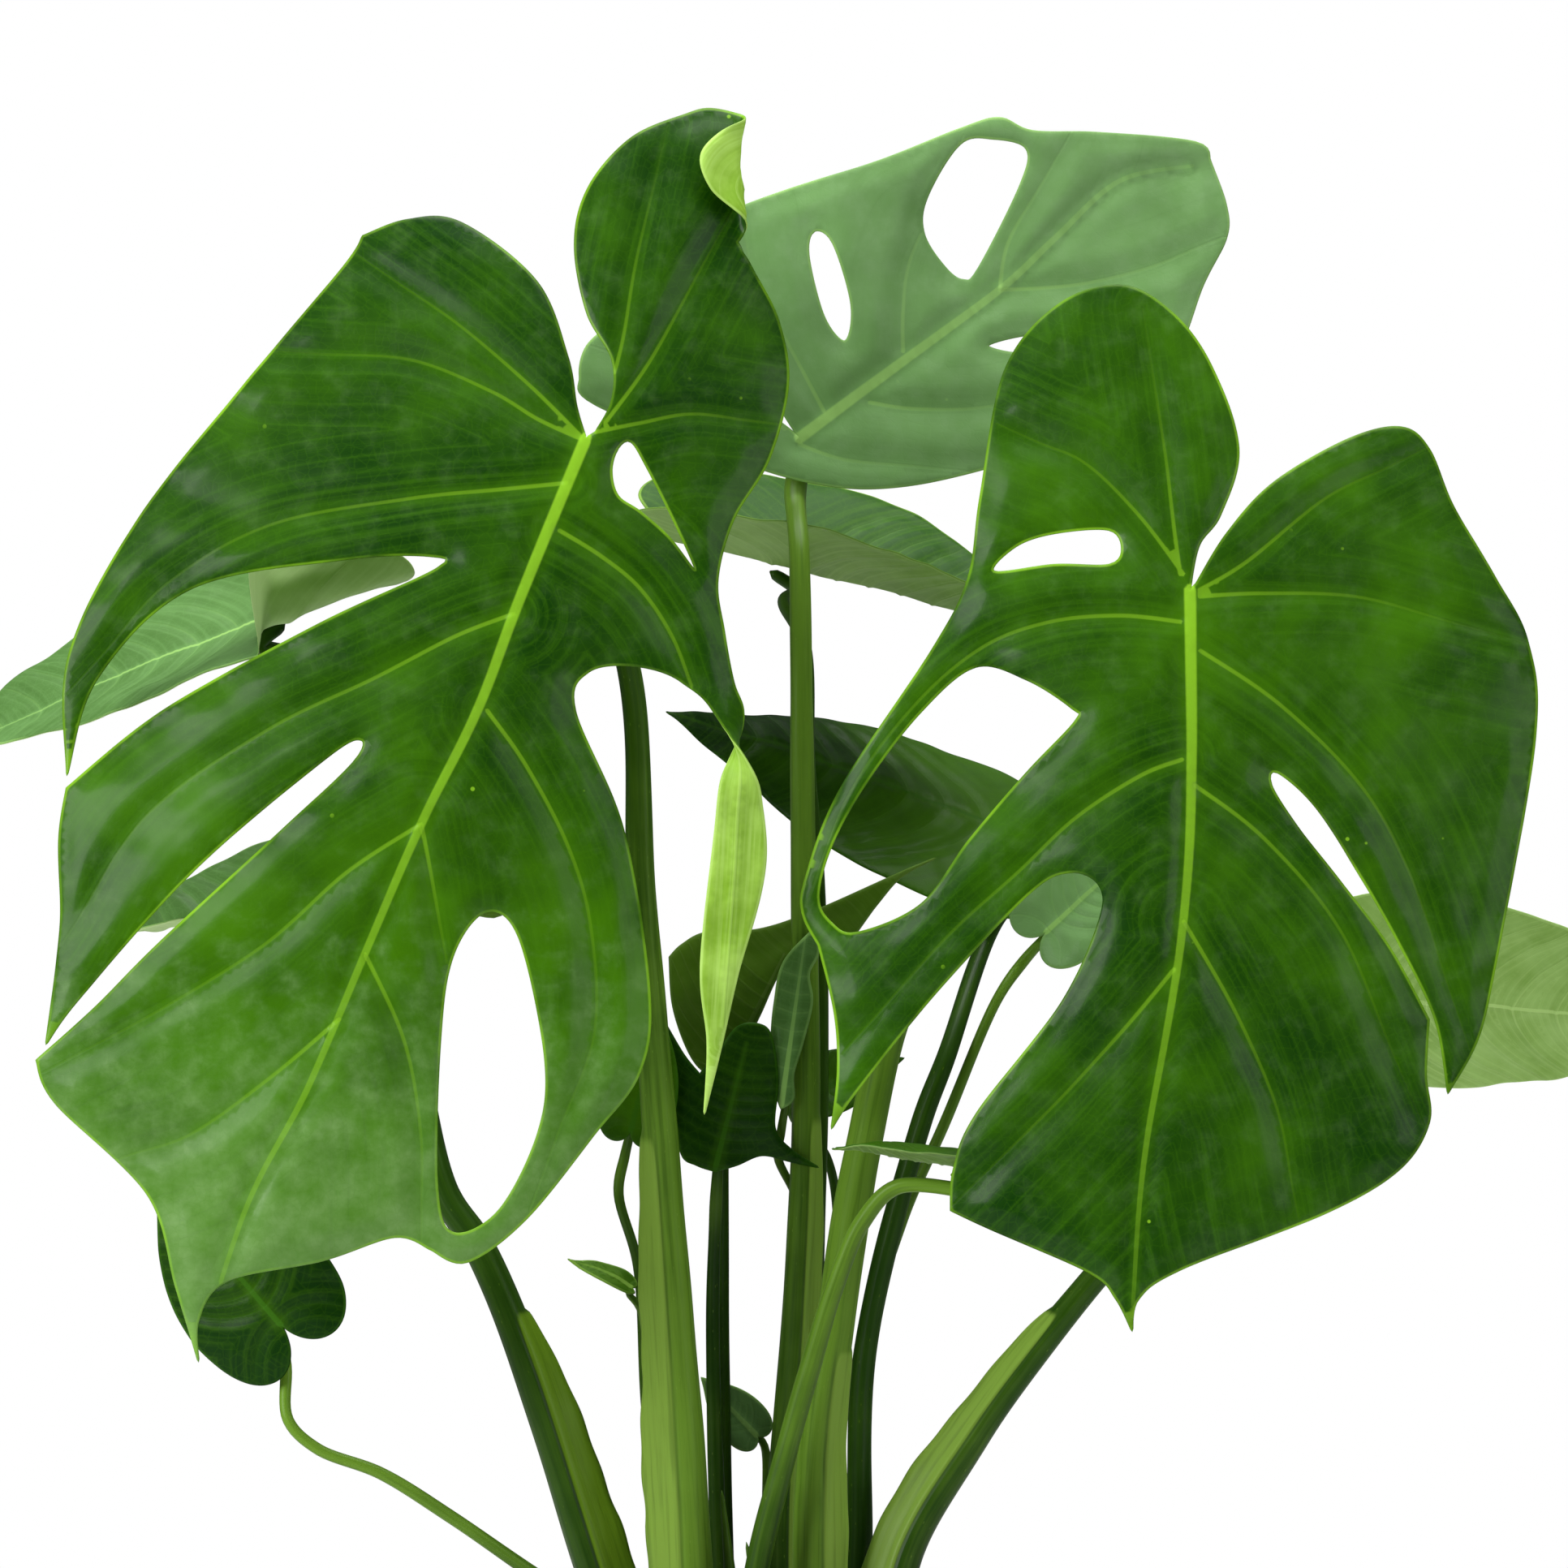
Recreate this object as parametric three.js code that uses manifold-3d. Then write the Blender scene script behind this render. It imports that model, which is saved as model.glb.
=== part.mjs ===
// A potted monstera: split leaves on long stalks, in a plain nursery pot. Millimetres, +Z up.
// The origin is the middle of the pot's underside, and the plant is seen from the front along +Y.
import * as THREE from 'three';
import { TessellateModifier } from 'three/addons/modifiers/TessellateModifier.js';
import { mergeVertices } from 'three/addons/utils/BufferGeometryUtils.js';
import Module from 'manifold-3d';

const wasm = await Module();
wasm.setup();

// Driving dimensions.
const POT_HEIGHT = 190;
const RIM_RADIUS = 105;
const FOOT_RADIUS = 76;
const POT_WALL = 2.5;
const POT_FLOOR = 4;
const RIM_BAND = 16;
const RIM_PROUD = 4;
const SOIL_DROP = 15;
const SOIL_GAP = 0.3;
const DRAIN_RADIUS = 6;
const DRAIN_RING = 48;
const DRAIN_COUNT = 6;
const BLADE = 1.2;
const SEAT_GAP = 0.3;
const STALK_GAP = 0.6;
const STALK_CURL = 4;
const STALK_SIDES = 8;
const STALK_STEP = 18;
const CURVE_STEPS = 2;
const LARGE_FACET = 36;
const SMALL_FACET = 20;
const LARGE_SPAN = 100;
const SPLIT_PASSES = 8;
const POT_SIDES = 40;
const DRAIN_SIDES = 10;
const BAND_SLOPE = 1;
const HOLE_STEPS = 2;
const HEART_STEPS = 5;
const POT_COLOUR = 0x2b2d2e;
const SOIL_COLOUR = 0x2a1d14;
const LEAF_COLOUR = 0x2f6b1c;
const STALK_COLOUR = 0x6c9440;

const SOIL_TOP = POT_HEIGHT - SOIL_DROP;
const plant = new THREE.Group();

function addMesh(name, geometry, colour, roughness) {
  const material = new THREE.MeshStandardMaterial({ color: colour, roughness, metalness: 0 });
  const mesh = new THREE.Mesh(geometry, material);
  mesh.name = name;
  plant.add(mesh);
  return mesh;
}

// ---------------------------------------------------------------- pot and soil

function solidOf(geometry) {
  const bare = geometry.clone();
  bare.deleteAttribute('normal');
  bare.deleteAttribute('uv');
  const merged = mergeVertices(bare, 1e-4);
  const vertProperties = new Float32Array(merged.attributes.position.array);
  const triVerts = new Uint32Array(merged.index.array);
  return new wasm.Manifold(new wasm.Mesh({ numProp: 3, vertProperties, triVerts }));
}

function geometryOf(solid) {
  const mesh = solid.getMesh();
  const geometry = new THREE.BufferGeometry();
  geometry.setAttribute('position', new THREE.BufferAttribute(mesh.vertProperties, 3));
  geometry.setIndex(new THREE.BufferAttribute(mesh.triVerts, 1));
  return geometry;
}

// A profile of [radius, height] pairs turned round the Z axis.
function turned(profile, sides) {
  const points = profile.map(([r, z]) => new THREE.Vector2(r, z));
  return new THREE.LatheGeometry(points, sides).rotateX(Math.PI / 2);
}

// The outer wall's radius at a height: the pot narrows evenly from rim to foot.
function wallRadius(z) {
  return THREE.MathUtils.lerp(FOOT_RADIUS, RIM_RADIUS - RIM_PROUD, z / POT_HEIGHT);
}

function makePot() {
  const bandFoot = POT_HEIGHT - RIM_BAND;
  const profile = [
    [0, 0],
    [FOOT_RADIUS, 0],
    [wallRadius(bandFoot), bandFoot],
    [RIM_RADIUS, bandFoot + BAND_SLOPE],
    [RIM_RADIUS, POT_HEIGHT],
    [wallRadius(POT_HEIGHT) - POT_WALL, POT_HEIGHT],
    [wallRadius(POT_FLOOR) - POT_WALL, POT_FLOOR],
    [0, POT_FLOOR],
  ];
  let pot = solidOf(turned(profile, POT_SIDES));
  for (let i = 0; i < DRAIN_COUNT; i++) {
    const angle = (2 * Math.PI * i) / DRAIN_COUNT;
    const drill = new THREE.CylinderGeometry(DRAIN_RADIUS, DRAIN_RADIUS, 4 * POT_FLOOR, DRAIN_SIDES);
    drill.rotateX(Math.PI / 2);
    drill.translate(DRAIN_RING * Math.cos(angle), DRAIN_RING * Math.sin(angle), 0);
    pot = pot.subtract(solidOf(drill));
  }
  return geometryOf(pot);
}

function makeSoil() {
  const foot = POT_FLOOR + SOIL_GAP;
  const inset = POT_WALL + SOIL_GAP;
  const profile = [
    [0, foot],
    [wallRadius(foot) - inset, foot],
    [wallRadius(SOIL_TOP) - inset, SOIL_TOP],
    [0, SOIL_TOP],
  ];
  return turned(profile, POT_SIDES);
}

// ---------------------------------------------------------------- leaf blades
//
// Every height of the plant is above the soil, and the plant is lifted onto it once it is made.
//
// A blade is drawn flat, in mm from where the stalk meets it: u to the right, v upwards, as seen
// facing its top side. The flat sheet is then shaped: w is how far a point stands out of the
// drawing, towards the viewer. `rib` is the end of the midrib, and along it
//   rise   tips the blade out towards its tip, in mm per mm
//   arch   bows it back again, in mm at 100 mm from the stalk
//   vee    folds both halves up from the midrib (down where negative), in mm per mm
//   droop  lets the halves hang back, in mm at 100 mm from the midrib
// A twist turns a hanging lobe about its own upright line, and a roll turns a margin over.

const BEND_AT = 100; // mm from the stalk or the midrib at which arch and droop are given
const RIB_HALF = 3; // a fold about the midrib is rounded over this half width
const TWIST_REACH = 14; // how far left of its line a twist takes hold
const ROLL_FADE = 0.4; // share of a roll's span over which it opens out at each end

const smooth = (t) => THREE.MathUtils.smoothstep(t, 0, 1);

function twisted(point, { u, top, length, turn }) {
  const angle = THREE.MathUtils.degToRad(turn) * smooth((top - point.y) / length);
  if (point.x < u - TWIST_REACH || angle === 0) return;
  const out = point.x - u;
  const lift = point.z;
  point.x = u + out * Math.cos(angle) + lift * Math.sin(angle);
  point.z = -out * Math.sin(angle) + lift * Math.cos(angle);
}

function rolled(point, { at, toward, radius, turn, span }) {
  const heading = THREE.MathUtils.degToRad(toward);
  const [dx, dy] = [Math.cos(heading), Math.sin(heading)];
  const past = (point.x - at[0]) * dx + (point.y - at[1]) * dy;
  const along = -(point.x - at[0]) * dy + (point.y - at[1]) * dx;
  if (past <= 0 || Math.abs(along) > span) return;
  const fade = smooth((span - Math.abs(along)) / (ROLL_FADE * span));
  const most = THREE.MathUtils.degToRad(turn) * fade;
  const angle = Math.min(past / radius, most);
  const rest = past - radius * angle;
  const reach = (radius - point.z) * Math.sin(angle) + rest * Math.cos(angle);
  point.z = radius - (radius - point.z) * Math.cos(angle) + rest * Math.sin(angle);
  point.x = at[0] + reach * dx - along * dy;
  point.y = at[1] + reach * dy + along * dx;
}

function standOut(x, y, { rib, rise = 0, arch = 0, vee = 0, droop = 0 }) {
  const length = Math.hypot(rib[0], rib[1]);
  const along = (x * rib[0] + y * rib[1]) / length;
  const across = (x * rib[1] - y * rib[0]) / length;
  const side = Math.hypot(across, RIB_HALF) - RIB_HALF;
  const bow = arch * (along / BEND_AT) ** 2 + droop * (across / BEND_AT) ** 2;
  return rise * along - bow + vee * side;
}

// Rows that point along the drawing's u, v and w, from where the tip points and the top faces.
function leafAxes(tip, face) {
  const down = new THREE.Vector3(...tip).normalize();
  const v = down.clone().negate();
  const w = new THREE.Vector3(...face);
  w.addScaledVector(down, -w.dot(down)).normalize();
  const u = new THREE.Vector3().crossVectors(v, w);
  return [u, v, w];
}

function leafPoint(leaf, x, y, z) {
  const point = new THREE.Vector3(x, y, z);
  for (const twist of leaf.twists ?? []) twisted(point, twist);
  for (const roll of leaf.rolls ?? []) rolled(point, roll);
  point.z += standOut(point.x, point.y, leaf.form);
  const [u, v, w] = leafAxes(leaf.tip, leaf.face);
  return new THREE.Vector3(...leaf.at)
    .addScaledVector(u, point.x)
    .addScaledVector(v, point.y)
    .addScaledVector(w, point.z);
}

// Smooth runs that meet in corners: each starts where the one before it ended.
function outlinePoints(runs) {
  const points = [];
  let last = runs[runs.length - 1].at(-1);
  for (const run of runs) {
    const knots = [last, ...run].map(([x, y]) => new THREE.Vector2(x, y));
    const steps = run.length > 1 ? CURVE_STEPS * run.length : 1;
    for (let i = 0; i < steps; i++) {
      const t = i / steps;
      points.push(run.length > 1 ? new THREE.SplineCurve(knots).getPoint(t) : knots[0]);
    }
    last = run.at(-1);
  }
  return points;
}

function holePoints(knots) {
  const ring = knots.map(([x, y]) => new THREE.Vector3(x, y, 0));
  const curve = new THREE.CatmullRomCurve3(ring, true, 'catmullrom', 0.5);
  const points = curve.getPoints(HOLE_STEPS * knots.length).slice(0, -1);
  return points.map((p) => new THREE.Vector2(p.x, p.y));
}

// A young leaf that hasn't split: a heart with lobes behind the stalk and a drawn-out tip. Its
// shape is in shares of the half width, the length and the lobes' depth.
const NOTCH_WIDTH = 0.12;
const LOBE_FULLNESS = 1.3;
const WIDEST_AT = 0.22;
const FLANK_TO = 0.6;
const TAPER_FROM = 0.82;
const TAPER_WIDTH = 0.25;

function heartPoints({ length, width, back }) {
  const half = width / 2;
  const lobe = LOBE_FULLNESS * back;
  const widest = [half, -WIDEST_AT * length];
  const flank = [half, -FLANK_TO * length];
  const taper = [TAPER_WIDTH * half, -TAPER_FROM * length];
  const arcs = [
    [[0, 0], [NOTCH_WIDTH * half, lobe], [half, lobe], widest],
    [widest, flank, taper, [0, -length]],
  ];
  const right = new THREE.CurvePath();
  for (const arc of arcs) {
    right.add(new THREE.CubicBezierCurve(...arc.map(([x, y]) => new THREE.Vector2(x, y))));
  }
  const points = right.getPoints(HEART_STEPS);
  const left = points.slice(1, -1).map((q) => new THREE.Vector2(-q.x, q.y)).reverse();
  return [...points, ...left].filter((q, i, all) => i === 0 || q.distanceTo(all[i - 1]) > 0.01);
}

function bladeGeometry(leaf) {
  const edge = leaf.heart ? heartPoints(leaf.heart) : outlinePoints(leaf.outline);
  const shape = new THREE.Shape(edge);
  for (const hole of leaf.holes ?? []) shape.holes.push(new THREE.Path(holePoints(hole)));
  const slab = new THREE.ExtrudeGeometry(shape, { depth: BLADE, bevelEnabled: false, steps: 1 });
  slab.translate(0, 0, -BLADE / 2);
  slab.deleteAttribute('normal');
  slab.deleteAttribute('uv');
  const large = leaf.outline && Math.hypot(...leaf.form.rib) > LARGE_SPAN;
  const facet = large ? LARGE_FACET : SMALL_FACET;
  const fine = new TessellateModifier(facet, SPLIT_PASSES).modify(slab);
  const position = fine.attributes.position;
  for (let i = 0; i < position.count; i++) {
    const point = leafPoint(leaf, position.getX(i), position.getY(i), position.getZ(i));
    position.setXYZ(i, point.x, point.y, point.z);
  }
  return mergeVertices(fine, 1e-4);
}

const leaves = {
  leaf_front_left: {
    at: [-61.7, -72, 404.7],
    tip: [0, 0, -1],
    face: [0, -1, 0],
    form: { rib: [-118, -285], rise: 0.3, arch: 6, vee: -0.12, droop: 9 },
    outline: [
      [[-3, 10], [-6, 26], [-16, 50], [-40, 69], [-57, 70], [-71, 65]],
      [[-77, 55], [-106, 19], [-140, -25], [-161, -68], [-161, -105]],
      [[-152, -75], [-123, -47], [-75, -38], [-48, -37], [-46, -41], [-82, -58], [-131, -85],
        [-161, -109]],
      [[-163, -125], [-162, -152], [-166, -188]],
      [[-155, -173], [-120, -134], [-80, -100], [-69, -94], [-71, -101], [-93, -122],
        [-130, -156], [-151, -177], [-169, -193]],
      [[-163, -206], [-134, -234], [-125, -262], [-118, -285]],
      [[-118, -272], [-109, -260], [-80, -254], [-58, -247], [-47, -251]],
      [[-36, -255], [-18, -242], [3, -216], [17, -197], [20, -172], [12, -122], [-3, -85],
        [1, -73], [15, -71], [30, -76], [40, -90], [36, -131], [45, -168], [50, -190], [55, -210]],
      [[54, -188], [56, -163], [51, -115], [50, -88], [46, -76], [43, -60], [41, -44], [46, -25],
        [57, -6], [63, 18], [60, 38], [52, 54], [47, 63]],
      [[53, 71], [63, 80], [66, 91], [55, 101], [40, 106], [30, 104], [13, 96], [0, 80], [-4, 62],
        [0, 40], [8, 25], [8, 12], [3, 2]],
      [[0, 0]],
    ],
    holes: [
      [[10, -3], [14, -1], [19, -9], [28, -27], [34, -41], [26, -31], [17, -23], [10, -18],
        [8, -10]],
      [[-45, -232], [-44, -185], [-40, -160], [-30, -147], [-20, -155], [-12, -192], [-14, -215],
        [-26, -239], [-40, -246]],
    ],
    twists: [{ u: 46, top: -75, length: 40, turn: 180 }],
    rolls: [{ at: [46, 82], toward: 0, radius: 3, turn: 165, span: 26 }],
  },
  leaf_front_right: {
    at: [126.8, -65, 357.6],
    tip: [0, 0, -1],
    face: [0, -1, 0],
    form: { rib: [-19, -230], rise: 0.25, arch: 7, vee: -0.1, droop: 7 },
    outline: [
      [[3, 14], [10, 24], [16, 45], [8, 71], [-4, 88], [-20, 97], [-40, 91], [-57, 70],
        [-65, 30], [-69, 4], [-80, -18], [-109, -62], [-120, -90], [-121, -101], [-116, -111]],
      [[-111, -132], [-110, -150], [-112, -168]],
      [[-104, -156], [-80, -126], [-51, -95], [-38, -88], [-29, -92], [-29, -103], [-41, -129],
        [-67, -163], [-74, -180], [-75, -193]],
      [[-62, -199], [-32, -212], [-24, -220], [-19, -230]],
      [[-17, -220], [-4, -211], [41, -194], [64, -181], [74, -166], [73, -151], [74, -134]],
      [[62, -112], [47, -92], [33, -74], [25, -61], [27, -57], [39, -68], [53, -90], [65, -111],
        [76, -134], [80, -157]],
      [[90, -139], [97, -109], [109, -45], [107, -16], [97, 4], [84, 27], [77, 45], [68, 52],
        [51, 48], [27, 34], [12, 18], [2, 2]],
      [[0, 0]],
    ],
    holes: [
      [[-61, 6], [-54, 14], [-42, 18], [-25, 19], [-21, 13], [-25, 8], [-42, 8]],
      [[-67, -24], [-51, -28], [-37, -37], [-36, -41], [-51, -57], [-69, -78], [-84, -98],
        [-104, -107], [-112, -104], [-116, -96], [-112, -80], [-101, -60], [-84, -38]],
    ],
  },
  leaf_back_top: {
    at: [5, 45, 409.7],
    tip: [0, 0, -1],
    face: [0, -1, 0],
    form: { rib: [132, 91], rise: -0.3, arch: 3, vee: 0.15, droop: 5 },
    outline: [
      [[-6, 5], [-40, 29], [-57, 36], [-68, 30], [-71, 19], [-66, 10], [-22, -7], [6, -15],
        [30, -16], [59, -10], [97, 3], [122, 25], [134, 53], [142, 69], [142, 80], [137, 95]],
      [[132, 101], [99, 103], [77, 103], [66, 107], [53, 103], [27, 92], [-5, 81], [-25, 72],
        [-37, 59], [-38, 45], [-28, 30], [-12, 17], [-2, 3]],
      [[0, 0]],
    ],
    holes: [
      [[5, 68], [11, 64], [17, 44], [15, 32], [8, 40], [3, 60]],
      [[53, 98], [64, 100], [75, 97], [73, 85], [59, 57], [54, 53], [48, 57], [41, 68], [42, 80]],
      [[62, 31], [70, 34], [79, 35], [73, 29]],
    ],
  },
  leaf_centre_olive: {
    at: [-20, 23, 202],
    tip: [0, 0, -1],
    face: [0, 1, 0],
    form: { rib: [-20, 40], arch: -2, vee: 0.05 },
    outline: [
      [[7, 3], [12, 11], [16, 24], [17, 39]],
      [[13, 43], [5, 47], [-12, 48], [-30, 54], [-57, 66], [-69, 71]],
      [[-58, 65], [-50, 56], [-39, 42], [-31, 42]],
      [[-20, 36], [-12, 20], [-6, 8], [0, 0]],
    ],
  },
  leaf_centre_dark: {
    at: [-22, -1, 174],
    tip: [0, 0, -1],
    face: [0, -1, 0],
    form: { rib: [10, 40], arch: 3, vee: -0.15 },
    outline: [
      [[-6, 1], [-11, 5], [-13, 22], [-16, 46]],
      [[-10, 36], [-5, 30]],
      [[0, 36], [7, 45], [14, 46], [18, 42], [20, 28], [19, 13], [24, 6], [33, 0]],
      [[24, 2], [15, 4], [7, 1], [0, -1]],
    ],
  },
  leaf_young_folded: {
    at: [-1, 2, 193],
    tip: [0, 0, -1],
    face: [0, -1, 0],
    form: { rib: [8, 56], rise: 0, arch: -2, vee: -0.3 },
    outline: [
      [[-2, 7], [-3, 21], [-2, 34], [1, 47], [11, 58]],
      [[12, 50], [9, 43], [10, 34], [7, 21], [4, 11], [4, 3], [0, 0]],
    ],
  },
  leaf_back_middle: {
    at: [-6, 88, 371],
    tip: [1, 0, -0.22],
    face: [0, -0.2, 1],
    form: { rib: [0, -100], arch: 5, vee: 0.5 },
    heart: { length: 104, width: 92, back: 50 },
  },
  leaf_back_dark: {
    at: [80, 86, 279],
    tip: [-117, -12, 47],
    face: [0.3, -0.52, 0.85],
    form: { rib: [0, -126], arch: 4, vee: -0.15 },
    heart: { length: 126, width: 95, back: 25 },
  },
  leaf_far_left: {
    at: [-158, -20, 352],
    tip: [-125, 5, -46],
    face: [-0.3, -0.4, 0.87],
    form: { rib: [0, -130], arch: 4, vee: 0.15 },
    heart: { length: 130, width: 90, back: 48 },
    rolls: [{ at: [12, 26], toward: 0, radius: 9, turn: 150, span: 36 }],
  },
  leaf_left_behind: {
    at: [-104, -30, 262],
    tip: [-110, 0, -9],
    face: [0, -0.28, 1],
    form: { rib: [0, -122], arch: 3, vee: 0.4 },
    heart: { length: 122, width: 86, back: 20 },
  },
  leaf_low_left: {
    at: [-158, -50, 127],
    tip: [-41, 2, 47],
    face: [-0.1, -0.95, -0.1],
    form: { rib: [0, -63], arch: 12, vee: -0.1 },
    heart: { length: 62, width: 51, back: 14 },
  },
  leaf_far_right: {
    at: [178, 45, 228],
    tip: [135, 5, -6],
    face: [0.1, 0.75, 0.65],
    form: { rib: [0, -135], arch: 5, vee: 0.1 },
    heart: { length: 135, width: 84, back: 28 },
  },
  leaf_right_gap: {
    at: [85, 30, 249],
    tip: [30, 0, 28],
    face: [-0.2, -0.95, 0.25],
    form: { rib: [0, -46], arch: 6, vee: 0.1 },
    heart: { length: 46, width: 34, back: 8 },
  },
  leaf_right_small: {
    at: [55, -45, 177],
    tip: [-37, 0, 6],
    face: [0, -0.05, 1],
    form: { rib: [0, -40], arch: 6, vee: 0.3 },
    heart: { length: 40, width: 30, back: 8 },
  },
  leaf_behind_stalk: {
    at: [-49, -2, 186],
    tip: [9, 2, 36],
    face: [0, -1, 0],
    form: { rib: [0, -40], arch: 6, vee: 0.1 },
    heart: { length: 40, width: 24, back: 5 },
  },
  leaf_small_back: {
    at: [9, 47, 197],
    tip: [28, 2, 10],
    face: [-0.2, -0.8, 0.6],
    form: { rib: [0, -32], arch: 6, vee: 0.1 },
    heart: { length: 32, width: 24, back: 6 },
  },
  leaf_low_small: {
    at: [-9, 30, 86],
    tip: [-13, -3, 14],
    face: [0.1, -1, 0.1],
    form: { rib: [0, -26], arch: 6, vee: 0.1 },
    heart: { length: 26, width: 16, back: 3 },
  },
  leaf_left_sliver: {
    at: [-49, -4, 136],
    tip: [-19, -2, 9],
    face: [0.3, -0.6, 0.8],
    form: { rib: [0, -22], arch: 6, vee: 0.1 },
    heart: { length: 22, width: 10, back: 2 },
  },
};

// ---------------------------------------------------------------- stalks
//
// A stalk stands on the soil at its first point and passes through the next ones, then runs in
// behind its leaf between the two points of `join`, which are drawn on the leaf. Radii are at the
// soil and at the leaf.
// The sheath is a wing along its lower part: `side` is its heading (0 right, 90 front, 180 left),
// `reach` how far it stands out at the soil, and `up` how far up the stalk it goes.

const SHEATH_START = 0.4; // share of the sheath's reach that it has at the soil
const SHEATH_OPENING = 4; // how fast it reaches the rest, in shares per whole stalk
const SHEATH_EDGE = 6; // power of the cosine that narrows it to a wing

function stalkEnd(leaf, radius, [from, to]) {
  const seat = BLADE / 2 + STALK_GAP + radius;
  return [
    leafPoint(leaf, from[0], from[1], -seat - STALK_CURL),
    leafPoint(leaf, to[0], to[1], -seat),
  ];
}

function stalkRing(centre, tangent, radius, sheath, t) {
  const front = new THREE.Vector3(0, -1, 0);
  const side = new THREE.Vector3().crossVectors(tangent, front).normalize();
  const forward = new THREE.Vector3().crossVectors(side, tangent);
  const ring = [];
  for (let k = 0; k < STALK_SIDES; k++) {
    const angle = (2 * Math.PI * k) / STALK_SIDES;
    const heading = THREE.MathUtils.degToRad(sheath.side);
    const facing = Math.max(0, Math.cos(angle - heading)) ** SHEATH_EDGE;
    const opened = Math.min(1, SHEATH_START + SHEATH_OPENING * t);
    const swell = opened * Math.sqrt(Math.max(0, 1 - t / sheath.up));
    const out = radius + sheath.reach * facing * swell;
    ring.push(centre.clone()
      .addScaledVector(side, out * Math.cos(angle))
      .addScaledVector(forward, out * Math.sin(angle)));
  }
  return ring;
}

const NO_SHEATH = { side: 0, reach: 0, up: 1 };
const UNDER_LOBES = [[0, 12], [0, -2]];

function stalkGeometry({ leaf, via, radii, join = UNDER_LOBES, sheath = NO_SHEATH }) {
  const free = via.map(([x, y, z]) => new THREE.Vector3(x, y, z));
  const end = leaf ? stalkEnd(leaves[leaf], radii[1], join) : [];
  const curve = new THREE.CatmullRomCurve3([...free, ...end], false, 'centripetal');
  const steps = Math.ceil(curve.getLength() / STALK_STEP);
  const corners = [];
  for (let i = 0; i <= steps; i++) {
    const t = i / steps;
    const tangent = i === 0 ? new THREE.Vector3(0, 0, 1) : curve.getTangentAt(t);
    const radius = THREE.MathUtils.lerp(radii[0], radii[1], t);
    corners.push(...stalkRing(curve.getPointAt(t), tangent, radius, sheath, t));
  }
  const faces = [];
  for (let i = 0; i < steps; i++) {
    for (let k = 0; k < STALK_SIDES; k++) {
      const a = i * STALK_SIDES + k;
      const b = i * STALK_SIDES + (k + 1) % STALK_SIDES;
      faces.push(a, b + STALK_SIDES, b, a, a + STALK_SIDES, b + STALK_SIDES);
    }
  }
  const last = steps * STALK_SIDES;
  for (let k = 1; k < STALK_SIDES - 1; k++) {
    faces.push(0, k, k + 1);
    faces.push(last, last + k + 1, last + k);
  }
  return new THREE.BufferGeometry().setFromPoints(corners).setIndex(faces);
}

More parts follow.
